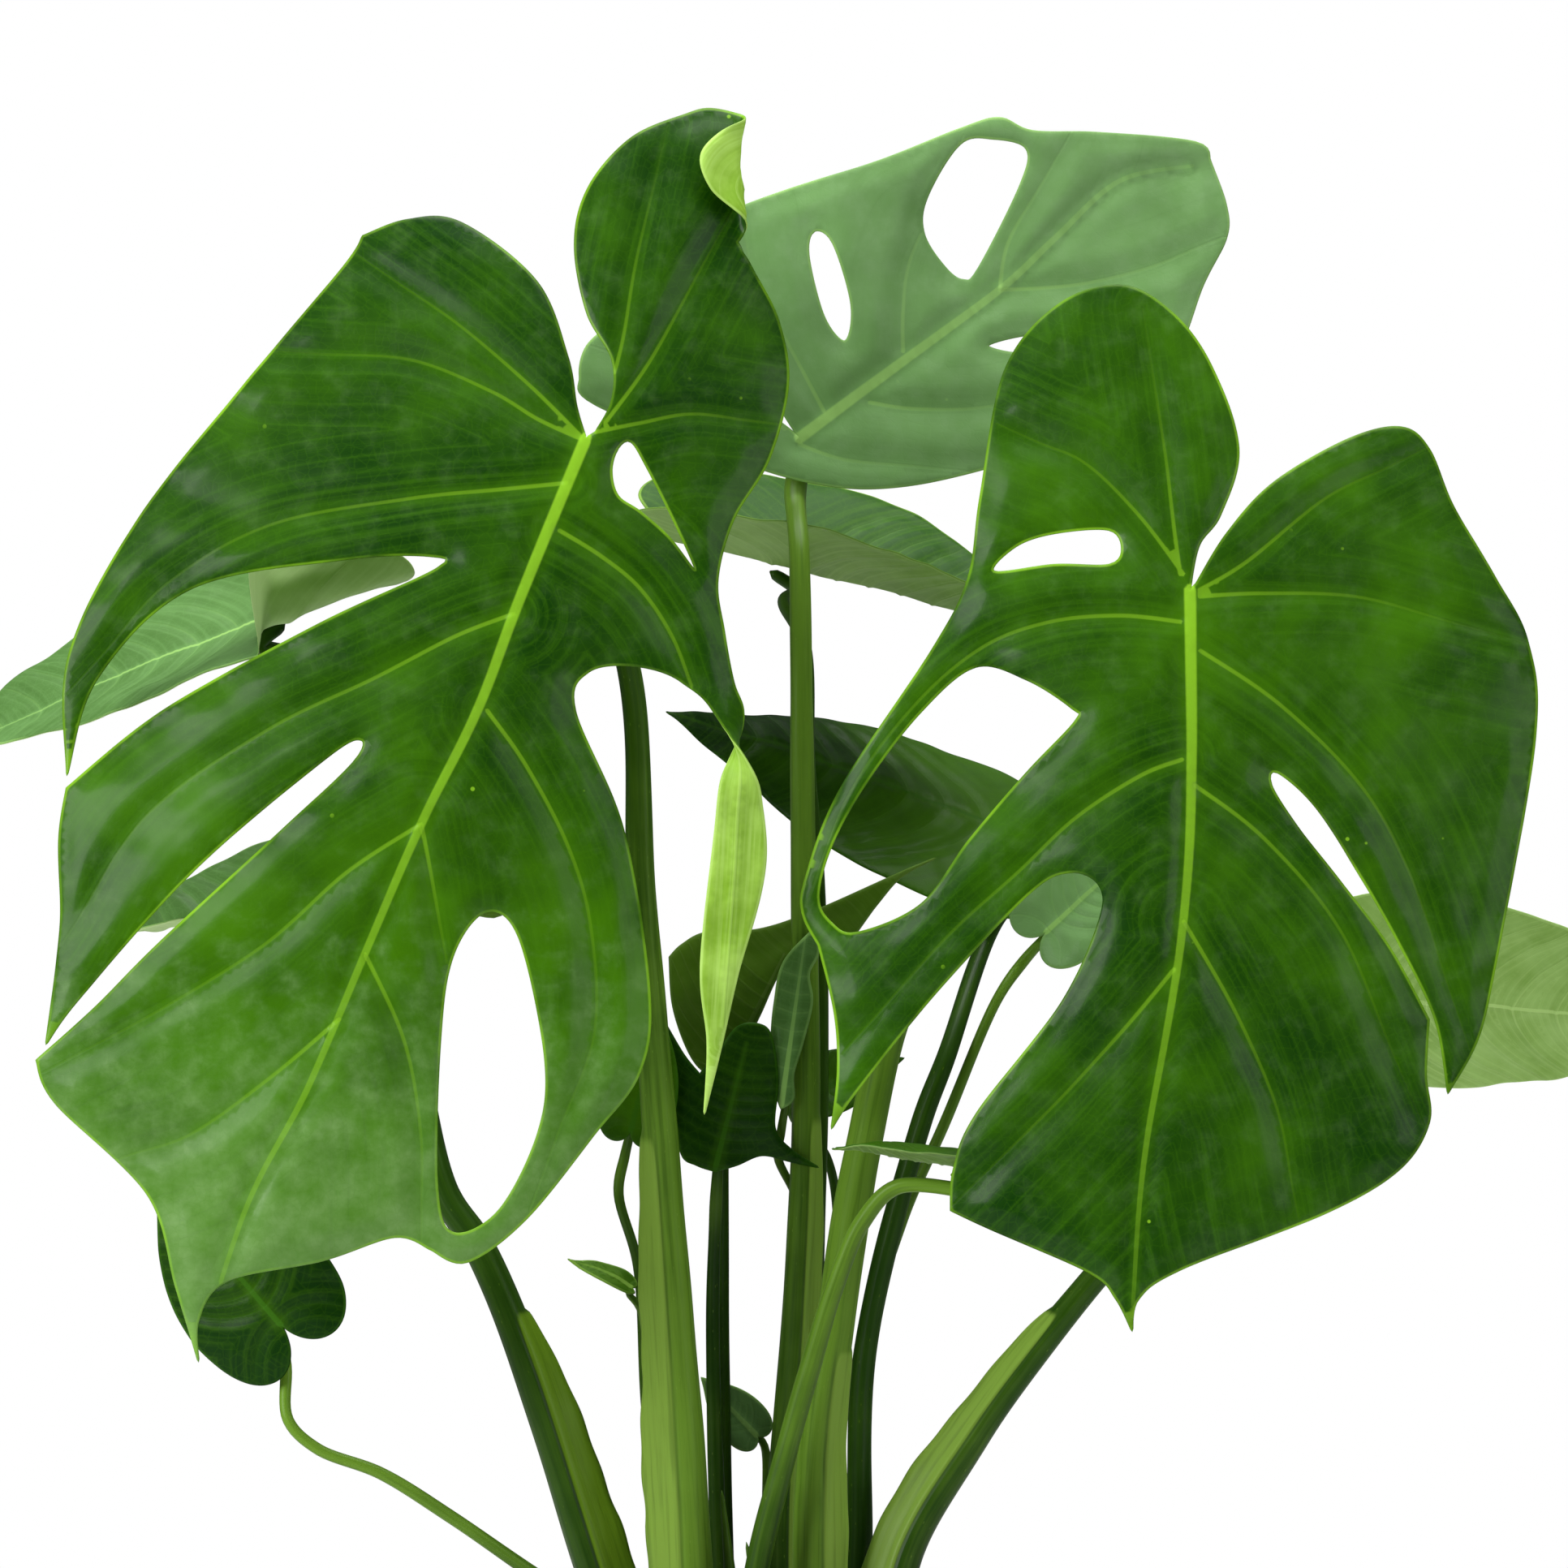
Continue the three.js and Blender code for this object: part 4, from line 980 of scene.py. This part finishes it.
def feathered_veins(leaf):
    """Veins of an unsplit leaf: a straight midrib and pairs of side veins. Each side vein is one
    arc that leaves the midrib steeply, runs to the rim and bends towards the tip; the first pair
    turns back into the lobes."""
    if "heart" in leaf:
        length, half, back = (leaf["heart"][key] for key in ("length", "width", "back"))
        half /= 2
        tip = np.array([0, -length])
    else:
        tip = np.array(leaf["form"]["rib"], float)
        length, half, back = np.linalg.norm(tip), 30, 0
    along = tip / np.linalg.norm(tip)
    across = np.array([along[1], -along[0]])
    sides = []
    for k in range(8):
        start = 0.02 + 0.105 * k
        end = start + 0.26 if k else -0.55 * back / length
        out = half * (0.86 if k else 0.7)
        for hand in (-1, 1):
            a = along * length * start
            b = along * length * (start + 0.03) + across * hand * out * 0.55
            c = along * length * end + across * hand * out
            t = np.linspace(0, 1, 9)[:, None]
            sides.append(a * (1 - t) ** 2 + 2 * b * t * (1 - t) + c * t * t)
    return [(0, 0), tuple(tip)], sides


def blade_mesh(name, leaf, veins, step):
    """The blade's skins over a mesh of triangles. A six-sided grid of points fills the drawing
    between its rims and holes, with extra points along every vein. Both skins lift together: the
    blade swells between its side veins, sinks along them, rises at the midrib and ripples slightly.
    A rounded rim joins the skins."""
    if "heart" in leaf:
        rings = [heart_outline(**leaf["heart"], step=step * 0.7)]
    else:
        rings = [drawn_outline(leaf["outline"], step * 0.7)]
    holes = [in_rows(hole) for hole in leaf.get("holes", [])]
    rings += [uniform_spline(hole, step * 0.7, closed=True)[:-1] for hole in holes]
    rings = [ring[np.linalg.norm(ring - np.roll(ring, 1, 0), axis=1) > 0.05] for ring in rings]
    rim_a = np.concatenate(rings)
    rim_b = np.concatenate([np.roll(ring, -1, 0) for ring in rings])

    midrib, sides = veins
    scale = 1.0 if name in VEINS else 0.5
    reach = math.hypot(*leaf["form"]["rib"])
    lines = [(in_rows(midrib), MIDRIB_WIDTH), *((in_rows(side), VEIN_WIDTH) for side in sides)]
    vein_points, starts, ends, widths, shares, is_rib = [], [], [], [], [], []
    for k, (line, (thick, thin)) in enumerate(lines):
        if k:
            way = line[-1] - line[-2]
            beyond = line[-1] + way / np.linalg.norm(way) * VEIN_RUN_ON * scale
            line = np.concatenate([line, [beyond]])
        line = uniform_spline(line, 0.9) if len(line) > 2 else line
        line, along = evenly(line, 1.1)
        width = scale * (thick + (thin - thick) * along / along[-1])
        inside = inside_rings(line, rings)
        pairs = inside[:-1] & inside[1:]
        vein_points.append(line[inside])
        starts.append(line[:-1][pairs])
        ends.append(line[1:][pairs])
        widths.append(width[:-1][pairs])
        shares.append((along / along[-1])[:-1][pairs])
        is_rib.append(np.full(pairs.sum(), k == 0))
    starts, ends = np.concatenate(starts), np.concatenate(ends)
    widths, shares, is_rib = (np.concatenate(part) for part in (widths, shares, is_rib))

    low, high = rings[0].min(0), rings[0].max(0)
    columns = np.arange(low[0], high[0], step)
    rows = np.arange(low[1], high[1], step * math.sqrt(3) / 2)
    x, y = np.meshgrid(columns, rows)
    x[1::2] += step / 2
    grid = np.stack([x.ravel(), y.ravel()], 1)
    grid = grid[inside_rings(grid, rings)]
    grid = grid[closest(grid, rim_a, rim_b)[0] > 0.55 * step]
    grid = grid[closest(grid, starts, ends)[0] > 0.6 * step]
    spine = np.concatenate(vein_points)
    spine = spine[closest(spine, rim_a, rim_b)[0] > 0.4 * step]
    spine = spine[np.unique(np.round(spine / 0.6), axis=0, return_index=True)[1]]

    count = len(rim_a)
    following = np.concatenate([np.roll(np.arange(len(r)), -1) for r in rings])
    first = np.repeat(np.cumsum([0] + [len(r) for r in rings[:-1]]), [len(r) for r in rings])
    edges = np.stack([np.arange(count), first + following], 1)
    points = np.concatenate([rim_a, spine, grid])
    flat, triangles = triangulated(points, edges, rings, 1e-4)
    a, b, c = flat[triangles].transpose(1, 0, 2)
    area = (b[:, 0] - a[:, 0]) * (c[:, 1] - a[:, 1]) - (b[:, 1] - a[:, 1]) * (c[:, 0] - a[:, 0])
    triangles = np.where(area[:, None] < 0, triangles[:, ::-1], triangles)[np.abs(area) > 1e-9]
    used, triangles = np.unique(triangles, return_inverse=True)
    flat, triangles = flat[used], triangles.reshape(-1, 3)

    total = len(flat)
    edge = open_edges(triangles, total)
    way = flat[edge[:, 1]] - flat[edge[:, 0]]
    normal = np.stack([way[:, 1], -way[:, 0]], 1) / np.linalg.norm(way, axis=1)[:, None]
    outward = np.zeros((total, 2))
    np.add.at(outward, edge[:, 0], normal)
    np.add.at(outward, edge[:, 1], normal)
    rim_points = np.unique(edge)
    spot = np.zeros(total, int)
    spot[rim_points] = np.arange(len(rim_points)) + 2 * total
    push = outward[rim_points]
    push /= np.maximum(np.linalg.norm(push, axis=1), 1e-9)[:, None]
    middle = flat[rim_points] + push * RIM_ROUND

    rim_gap = closest(flat, rim_a, rim_b)[0]
    near, which, _ = closest(flat, starts[~is_rib], ends[~is_rib])
    side_width = widths[~is_rib][which]
    rib_gap, rib_which, _ = closest(flat, starts[is_rib], ends[is_rib])
    rib_width = widths[is_rib][rib_which]
    side_share, rib_share = shares[~is_rib][which], shares[is_rib][rib_which]
    swell = 1.5 * scale * smooth(np.minimum(near, rib_gap) / (9 * scale)) * smooth(rim_gap / 8)
    groove = 0.45 * scale**2 * bell(near, 1.6 * side_width) * smooth(rib_gap / 3)
    groove *= 1.1 - side_share
    ridge = 0.9 * scale * bell(rib_gap, 0.8 * rib_width)
    ridge -= 0.5 * scale * bell(rib_gap, 3 * rib_width)
    steady = smooth(np.linalg.norm(flat, axis=1) / (0.3 * reach))
    seed = sum(map(ord, name))
    wave = 1.7 * ripple(flat, 75 * scale, seed) + 0.45 * ripple(flat, 24 * scale, seed + 1)
    wave *= scale * steady * (0.7 + 0.5 * (1 - smooth(rim_gap / 18)))
    lift = swell - groove + ridge + wave
    below = bell(near, 0.9 * side_width) * 0.5 * scale + bell(rib_gap, rib_width) * 1.0 * scale
    # The tone runs from beside the stalk to the tip, and the underside takes the third value; it
    # holds painted sheen and painted shade as well as the leaf's own freshness.
    tones = TONES.get(name, PLAIN_TONES)
    tone = tones[0] + (tones[1] - tones[0]) * smooth(-flat[:, 1] / reach)
    half = BLADE / 2 * (0.75 + 0.25 * smooth(rim_gap / 2))
    top = np.column_stack([flat, lift + half])
    bottom = np.column_stack([flat, lift - half - below * smooth(rim_gap / 2)])
    rim = np.column_stack([middle, lift[rim_points]])
    solid = np.concatenate([top, bottom, rim])

    every = np.concatenate([np.arange(total), np.arange(total), rim_points])
    a, b = edge.T
    faces = [
        triangles,
        np.stack([spot[a], spot[b], b, a], 1),
        np.stack([a + total, b + total, spot[b], spot[a]], 1),
        triangles[:, ::-1] + total,
    ]
    notes = {
        "drawn": np.column_stack([flat, np.zeros(total)])[every],
        "rib": (rib_gap / rib_width)[every],
        "side": (near / side_width)[every],
        "flow": near[every],
        "fade": (1 - side_share[every]) * (1.0 if name in VEINS else 0.45),
        "rib_fade": 1 - rib_share[every],
        "tone": np.concatenate([tone, 0 * tone + tones[2], tone[rim_points]]),
        "rim": np.concatenate([rim_gap, rim_gap, np.zeros(len(rim_points))]),
    }
    return leaf_points(leaf, solid), faces, notes


# ---------------------------------------------------------------- stalks


def carried(path, step, around, outline, buried=0.0):
    """A closed surface: an outline carried along a path. Each ring is square to the path, and its
    angle 0 points right and 90 degrees forward. `outline` gives the radii from the ring's way along
    and its angles, as rows and columns."""
    line, along = evenly(path, step)
    tangent = np.gradient(line, axis=0)
    tangent /= np.linalg.norm(tangent, axis=1, keepdims=True)
    tangent[0] = (0, 0, 1) if buried else tangent[0]
    side = np.cross(tangent, (0.0, -1.0, 0.0))
    side /= np.linalg.norm(side, axis=1, keepdims=True)
    forward = np.cross(side, tangent)
    angle = np.linspace(0, 2 * math.pi, around, endpoint=False)
    radius, notes = outline(along[:, None], angle[None, :], along[-1])
    rings = (
        line[:, None]
        + side[:, None] * (radius * np.cos(angle))[..., None]
        + forward[:, None] * (radius * np.sin(angle))[..., None]
    )
    points = np.concatenate([rings.reshape(-1, 3), line[:1], line[-1:]])
    body = grid_faces(len(line), around)[:, ::-1]
    count = len(line) * around
    foot = fan_faces(count, np.arange(around), flip=False)
    head = fan_faces(count + 1, np.arange(around) + count - around, flip=True)
    along = along[:, None] + 0 * radius
    fibre = np.stack([radius * np.cos(angle), radius * np.sin(angle), along], -1)
    notes = {key: np.append(value.ravel(), [0, 0]) for key, value in notes.items()}
    notes["fibre"] = np.concatenate([fibre.reshape(-1, 3), [[0, 0, 0], [0, 0, along[-1, 0]]]])
    return points, [body, foot, head], notes


def stalk_mesh(name, stalk):
    """A round stalk that tapers from soil to leaf. Its sheath is a thin wing that stands out on one
    side by a high power of the cosine, shortens up the stalk with a square root and has a rippled
    edge, beside a shallow groove. Just below the leaf is a knee, slightly thicker; at the soil a
    flare. The last few millimetres round off."""
    via = in_rows(stalk["via"], 3) + (0, 0, SOIL_TOP)
    bottom, top = stalk["radii"]
    if "leaf" in stalk:
        leaf = LEAVES[stalk["leaf"]]
        join = in_rows(stalk.get("join", PLAIN_JOIN))
        seat = CAD_BLADE / 2 + STALK_GAP + top
        ends = np.column_stack([join, [-seat - STALK_CURL, -seat]])
        placed = leaf_points(leaf, ends)
        via = np.concatenate([via, placed])
    path = centripetal_spline(via)
    sunk = np.array([[path[0][0], path[0][1], path[0][2] - 6]])
    path = np.concatenate([sunk, path])
    side, reach, up = stalk.get("sheath", NO_SHEATH)
    heading = math.radians(side)
    seed = sum(map(ord, name))
    tones = STALK_TONES.get(name, PLAIN_STALK_TONES)

    def outline(along, angle, length):
        t = np.clip((along - 6) / (length - 6), 0, 1)
        radius = bottom + (top - bottom) * t
        turned = np.angle(np.exp(1j * (angle - heading)))
        facing = np.maximum(0, np.cos(turned))
        swell = np.minimum(1, 0.4 + 4 * t) * np.sqrt(np.maximum(0, 1 - t / up))
        ragged = 1 + 0.07 * np.sin(along / 9 + seed) + 0.04 * np.sin(along / 3.1)
        wing = reach * swell * (0.55 * facing**8 + 0.45 * facing**60) * ragged
        has_wing = min(1.0, reach) * smooth(swell * 3)
        # Each edge of the sheath gets a shallow groove, painted dark on the rind as a shadow line.
        shaded_seam = has_wing * (bell(turned - 1.25, 0.09) + bell(turned + 1.25, 0.09))
        knee = bell(along - (length - 16), 9.0) if "leaf" in stalk else 0 * along
        flare = 0.10 * np.exp(-along / 9)
        line = 0.012 * np.sin(angle * 5 + seed) + 0.004 * np.sin(angle * 11 + seed * 2)
        uneven = 0.02 * np.sin(along / 23 + seed) + 0.015 * np.sin(along / 7.7 + 2 * seed)
        radius = radius * (1 + 0.16 * knee + flare + line + uneven) - 0.05 * bottom * shaded_seam + wing
        close = np.sqrt(np.clip((length - along) / 2.5, 0.02, 1))
        flange = smooth((facing - 0.25) / 0.35) * smooth(swell * 2.5) * min(1.0, reach)
        tone = tones[0] + (tones[1] - tones[0]) * smooth(t)
        notes = {"flange": flange, "shaded_seam": shaded_seam, "knee": knee, "tone": tone}
        return radius * close, {key: value + 0 * radius for key, value in notes.items()}

    around = 72 if bottom > 4 else 32
    return carried(path, 1.6 if bottom > 4 else 2.0, around, outline, buried=6)


# ---------------------------------------------------------------- pot and soil


def lathe(profile, around, closed_profile):
    """Points and faces of a profile of [radius, height] rows turned once round the Z axis."""
    angle = np.linspace(0, 2 * math.pi, around, endpoint=False)
    profile = np.array(profile, float)
    x = profile[:, :1] * np.cos(angle)
    y = profile[:, :1] * np.sin(angle)
    z = profile[:, 1:] + 0 * x
    points = np.stack([x, y, z], -1).reshape(-1, 3)
    faces = grid_faces(len(profile), around)
    if closed_profile:
        top = (len(profile) - 1) * around + np.arange(around)
        low = np.arange(around)
        faces = np.concatenate([faces, np.stack([top, np.roll(top, -1), np.roll(low, -1), low], 1)])
    return points, faces


def rounded(corners, radii, steps=5):
    """A closed chain of corners with each one replaced by a quadratic arc that starts and ends at
    its radius from the corner."""
    corners = np.array(corners, float)
    before, after = np.roll(corners, 1, 0), np.roll(corners, -1, 0)
    parts = []
    for p, a, b, r in zip(corners, before, after, radii):
        start = p + (a - p) / np.linalg.norm(a - p) * r
        end = p + (b - p) / np.linalg.norm(b - p) * r
        t = np.linspace(0, 1, steps)[:, None]
        parts.append(start * (1 - t) ** 2 + 2 * p * t * (1 - t) + end * t * t)
    return np.concatenate(parts)


def wall_radius(z):
    return FOOT_RADIUS + (RIM_RADIUS - RIM_PROUD - FOOT_RADIUS) * z / POT_HEIGHT


def pot_mesh():
    """The wall and rim band turned round the axis, its corners rounded, and a floor plate with
    round drain holes through it."""
    band = POT_HEIGHT - RIM_BAND
    inner_top = wall_radius(POT_HEIGHT) - POT_WALL
    corners = [
        (FOOT_RADIUS - 5, 0.8), (FOOT_RADIUS, 0.0), (wall_radius(12), 12),
        (wall_radius(band - 3), band - 3), (wall_radius(band), band),
        (RIM_RADIUS - 0.8, band + 0.6),
        (RIM_RADIUS, band + 2), (RIM_RADIUS, POT_HEIGHT - 3), (RIM_RADIUS - 0.4, POT_HEIGHT),
        (inner_top + 0.6, POT_HEIGHT), (inner_top, POT_HEIGHT - 2),
        (wall_radius(POT_FLOOR) - POT_WALL, POT_FLOOR - 0.5), (FOOT_RADIUS - 5, POT_FLOOR - 0.8),
    ]
    radii = [0.3, 1.2, 0.3, 0.5, 0.8, 0.4, 0.8, 1.0, 0.6, 0.6, 0.6, 0.5, 0.3]
    wall, wall_faces = lathe(rounded(corners, radii), 180, True)
    around = circle(180)
    rings = [around * (FOOT_RADIUS - 3)]
    for k in range(DRAIN_COUNT):
        at = 2 * math.pi * k / DRAIN_COUNT
        middle = DRAIN_RING * np.array([math.cos(at), math.sin(at)])
        rings.append(middle + DRAIN_RADIUS * around[::6])
    flat = np.concatenate(rings)
    first, edges = 0, []
    for ring in rings:
        ids = np.arange(len(ring)) + first
        edges.append(np.stack([ids, np.roll(ids, -1)], 1))
        first += len(ring)
    edges = np.concatenate(edges)
    flat, triangles = triangulated(flat, edges, rings, 1e-5)
    count = len(flat)
    a, b = open_edges(triangles, count).T
    low = np.column_stack([flat, np.full(count, 0.8)])
    high = np.column_stack([flat, np.full(count, POT_FLOOR - 0.8)])
    start = len(wall)
    plate = [triangles + start + count, triangles[:, ::-1] + start]
    sides = np.stack([a + start, b + start, b + start + count, a + start + count], 1)
    return np.concatenate([wall, low, high]), [wall_faces, *plate, sides]


def soil_mesh():
    """A closed plug: rings of points from the middle out over a lumpy top, down the wall and in
    under the floor. The top's height is three sizes of ripple that die away at the wall."""
    inset = POT_WALL + SOIL_GAP
    edge = wall_radius(SOIL_TOP) - inset
    foot = POT_FLOOR + SOIL_GAP
    around = 240
    radius = np.concatenate([np.linspace(0.8, edge - 0.6, 84), [edge, wall_radius(90) - inset]])
    radius = np.concatenate([radius, [wall_radius(foot) - inset, 40, 0.8]])
    height = np.concatenate([np.full(84, SOIL_TOP), [SOIL_TOP - 1.5, 90, foot, foot, foot]])
    points, faces = lathe(np.column_stack([radius, height])[::-1], around, False)
    top = points[:, 2] == SOIL_TOP
    out = np.hypot(points[:, 0], points[:, 1])
    flat = points[:, :2]
    lumps = ripple(flat, 34, 5) * 1.6 + ripple(flat, 9, 6) * 0.9 + ripple(flat, 3.6, 7) * 0.5
    points[:, 2] += np.where(top, lumps * smooth((edge - out) / 6) - 0.6, 0)
    count = len(points)
    rows = len(radius)
    ends = np.array([[0, 0, foot], [0, 0, SOIL_TOP]])
    points = np.concatenate([points, ends])
    low = fan_faces(count, np.arange(around), flip=True)
    high = fan_faces(count + 1, np.arange(around) + (rows - 1) * around, flip=False)
    return points, [faces, low, high]


def scattered(count, seed, size, flatness, clear):
    """Small rough lumps strewn on the soil: each is a ball of rings with its radius rippled, drawn
    out, flattened, turned at random and set a third deep. None lies within `clear` of a stalk."""
    rng = np.random.default_rng(seed)
    feet = in_rows([stalk["via"][:2] for stalk in STALKS.values()])
    spread = RIM_RADIUS - 16
    spot = rng.uniform(-spread, spread, (count * 6, 2))
    spot = spot[np.hypot(spot[:, 0], spot[:, 1]) < spread]
    gap = np.linalg.norm(spot[:, None] - feet[None], axis=2).min(1)
    spot = spot[gap > clear][:count]
    tilt = np.linspace(0, math.pi, 6)[1:-1]
    turn = np.linspace(0, 2 * math.pi, 8, endpoint=False)
    ball = np.stack(
        [
            (np.sin(tilt)[:, None] * np.cos(turn)).ravel(),
            (np.sin(tilt)[:, None] * np.sin(turn)).ravel(),
            (np.cos(tilt)[:, None] + 0 * turn).ravel(),
        ],
        1,
    )
    ball = np.concatenate([ball, [[0, 0, 1], [0, 0, -1]]])
    body = grid_faces(4, 8)[:, ::-1]
    ring = np.arange(8)
    caps = np.concatenate([fan_faces(32, ring, False), fan_faces(33, ring + 24, True)])
    number = len(spot)
    rough = rng.uniform(0.72, 1.25, (number, len(ball), 1))
    spans = [(0.7, 1.5), (0.5, 1.0), flatness]
    shape = np.stack([rng.uniform(*between, number) for between in spans], 1)
    span = rng.uniform(*size, number)[:, None, None]
    lumps = ball[None] * rough * shape[:, None] * span
    yaw, lean = rng.uniform(0, 2 * math.pi, number), rng.normal(0, 0.3, number)
    c, s, cl, sl = np.cos(yaw), np.sin(yaw), np.cos(lean), np.sin(lean)
    x, y, z = lumps[..., 0], lumps[..., 1], lumps[..., 2]
    y, z = y * cl[:, None] - z * sl[:, None], y * sl[:, None] + z * cl[:, None]
    x, y = x * c[:, None] - y * s[:, None], x * s[:, None] + y * c[:, None]
    height = ripple(spot, 34, 5) * 1.6 + ripple(spot, 9, 6) * 0.9 + SOIL_TOP - 0.2
    points = np.stack([x + spot[:, :1], y + spot[:, 1:], z + height[:, None]], -1).reshape(-1, 3)
    offset = (np.arange(number) * len(ball))[:, None, None]
    return points, [(body[None] + offset).reshape(-1, 4), (caps[None] + offset).reshape(-1, 3)]


# ---------------------------------------------------------------- the finishes

# The third colour of each top is its pale grey-green of dust and painted sheen.
TOPS = {
    "leaf_green": leaf_top(
        "leaf green", (0.004, 0.036, 0.0002), (0.052, 0.180, 0.0006), (0.240, 0.400, 0.150),
        (0.250, 0.530, 0.020), 0.14, 0.42),
    # leaf grey green: a greyer, bluer green, partly the leaves' own colour and partly painted sheen
    # for leaves that look washed pale by reflected light.
    "leaf_grey_green": leaf_top(
        "leaf grey green", (0.060, 0.145, 0.030), (0.150, 0.310, 0.095), (0.220, 0.370, 0.170),
        (0.280, 0.500, 0.130), 0.08, 0.55),
    "leaf_bright": leaf_top(
        "leaf bright", (0.014, 0.070, 0.001), (0.080, 0.210, 0.006), (0.130, 0.250, 0.050),
        (0.300, 0.520, 0.080), 0.04, 0.5),
    # leaf dark: leaf green made darker throughout, veins and sheen colour too, partly the leaves'
    # own deep green and partly painted shade for leaves in shadow inside the plant.
    "leaf_dark": leaf_top(
        "leaf dark", (0.003, 0.028, 0.0003), (0.050, 0.150, 0.001), (0.045, 0.110, 0.025),
        (0.034, 0.125, 0.004), 0.05, 0.45),
}
# The first colour of each underside is its painted shade, used where the underside's tone is low.
UNDERS = {
    "leaf_green": leaf_under(
        "leaf green underside", (0.030, 0.085, 0.001), (0.200, 0.390, 0.020), (0.360, 0.610, 0.085),
        (0.520, 0.780, 0.200)),
    # Its underside colours are raised far above the others: painted light shining through the thin
    # leaf where it hangs in shade.
    "leaf_grey_green": leaf_under(
        "leaf grey green underside", (0.070, 0.150, 0.025), (0.420, 0.610, 0.230),
        (0.520, 0.720, 0.310), (0.600, 0.780, 0.360)),
    "leaf_bright": leaf_under(
        "leaf bright underside", (0.120, 0.240, 0.030), (0.210, 0.370, 0.070),
        (0.310, 0.500, 0.140), (0.420, 0.630, 0.200)),
    # The dark underside is darkened in the same way: partly painted shade.
    "leaf_dark": leaf_under(
        "leaf dark underside", (0.015, 0.060, 0.001), (0.070, 0.160, 0.020), (0.160, 0.280, 0.070),
        (0.260, 0.400, 0.120)),
}
STALK_SKINS = {
    "stalk_green": stalk_skin(
        "stalk green", (0.012, 0.050, 0.001), (0.135, 0.265, 0.022), (0.225, 0.375, 0.050)),
    "stalk_dark": stalk_skin(
        "stalk dark", (0.009, 0.040, 0.001), (0.065, 0.155, 0.010), (0.160, 0.300, 0.015)),
}
LEAF_SLOTS = {
    "leaf_green": ["leaf_front_left", "leaf_front_right", "leaf_centre_olive"],
    "leaf_grey_green": ["leaf_back_top", "leaf_young_folded", "leaf_far_left", "leaf_left_behind",
                        "leaf_right_gap", "leaf_low_small"],
    "leaf_bright": ["leaf_back_middle", "leaf_far_right", "leaf_left_sliver"],
    "leaf_dark": ["leaf_centre_dark", "leaf_back_dark", "leaf_low_left", "leaf_right_small",
                  "leaf_behind_stalk", "leaf_small_back"],
}
DARK_STALKS = ["stalk_back_middle", "stalk_back_dark", "stalk_far_left",
               "stalk_centre_olive", "stalk_small_back"]

# ---------------------------------------------------------------- the pieces

for slot, names in LEAF_SLOTS.items():
    for name in names:
        leaf = LEAVES[name]
        veins = VEINS[name] if name in VEINS else feathered_veins(leaf)
        size = leaf["heart"]["length"] if "heart" in leaf else 2 * math.hypot(*leaf["form"]["rib"])
        step = 1.9 if name in VEINS else (1.5 if size > 70 else 1.0)
        points, faces, notes = blade_mesh(name, leaf, veins, step)
        called = name.replace("leaf", "blade")
        skins = [TOPS[slot], UNDERS[slot]]
        make_piece(called, [name], points, faces, skins, [0, 0, 1, 1], notes)

for name, stalk in STALKS.items():
    slot = "stalk_dark" if name in DARK_STALKS else "stalk_green"
    points, faces, notes = stalk_mesh(name, stalk)
    called = name.replace("stalk", "stem").replace("bud_scale", "bud")
    make_piece(called, [name], points, faces, [STALK_SKINS[slot]], notes=notes)

points, faces = pot_mesh()
make_piece("nursery_pot", ["pot"], points, faces, [pot_plastic()])
points, faces = soil_mesh()
make_piece("soil_bed", ["soil"], points, faces, [soil_crumb()])
points, faces = scattered(150, 11, (2.2, 6.5), (0.25, 0.5), 9)
make_piece("bark_pieces", ["soil"], points, faces, [bark_chip()])
points, faces = scattered(190, 12, (0.5, 2.3), (0.7, 1.0), 7)
make_piece("perlite_grains", ["soil"], points, faces, [perlite_grain()])

# ---------------------------------------------------------------- floor, light and camera

FLOOR_RADIUS = 1100
BACKDROP_SEEN = 1.0
BACKDROP_LIGHT = 0.13
EYE = (0, -2.6, 0.472)
SENSOR = 36
LENS = 186.34

disc = np.pad(FLOOR_RADIUS * circle(96), ((0, 0), (0, 1)))
floor = make_piece("floor", [], disc, [np.arange(len(disc))[None]], [floor_paint()])

world = bpy.data.worlds.new("studio white")
world.use_nodes = True
backdrop = world.node_tree.nodes["Background"]
backdrop.inputs["Color"].default_value = (1.0, 1.0, 1.0, 1)
paths = world.node_tree.nodes.new("ShaderNodeLightPath")
strength = world.node_tree.nodes.new("ShaderNodeMapRange")
strength.inputs["To Min"].default_value = BACKDROP_LIGHT
strength.inputs["To Max"].default_value = BACKDROP_SEEN
world.node_tree.links.new(paths.outputs["Is Camera Ray"], strength.inputs["Value"])
world.node_tree.links.new(strength.outputs["Result"], backdrop.inputs["Strength"])
bpy.context.scene.world = world


def softbox(name, place, aim, size, power):
    """A square area light that faces a point."""
    lamp = bpy.data.lights.new(name, "AREA")
    lamp.shape = "RECTANGLE"
    lamp.size, lamp.size_y = size
    lamp.energy = power
    made = bpy.data.objects.new(name, lamp)
    made.location = place
    made.rotation_euler = (Vector(aim) - Vector(place)).to_track_quat("-Z", "Y").to_euler()
    bpy.context.scene.collection.objects.link(made)


softbox("window left", (-1.6, -1.3, 1.2), (-0.05, 0, 0.45), (1.2, 1.2), 50)
softbox("top sheet", (0.1, 0.2, 1.9), (0, 0, 0.45), (1.4, 1.2), 36)
softbox("fill right", (1.7, -1.2, 0.9), (0.1, 0, 0.4), (1.0, 1.4), 14)

lens = bpy.data.cameras.new("camera")
lens.sensor_width = SENSOR
lens.lens = LENS
camera = bpy.data.objects.new("camera", lens)
camera.location = EYE
camera.rotation_euler = (math.pi / 2, 0, 0)
bpy.context.scene.collection.objects.link(camera)
bpy.context.scene.camera = camera
bpy.context.scene.view_settings.view_transform = "Standard"
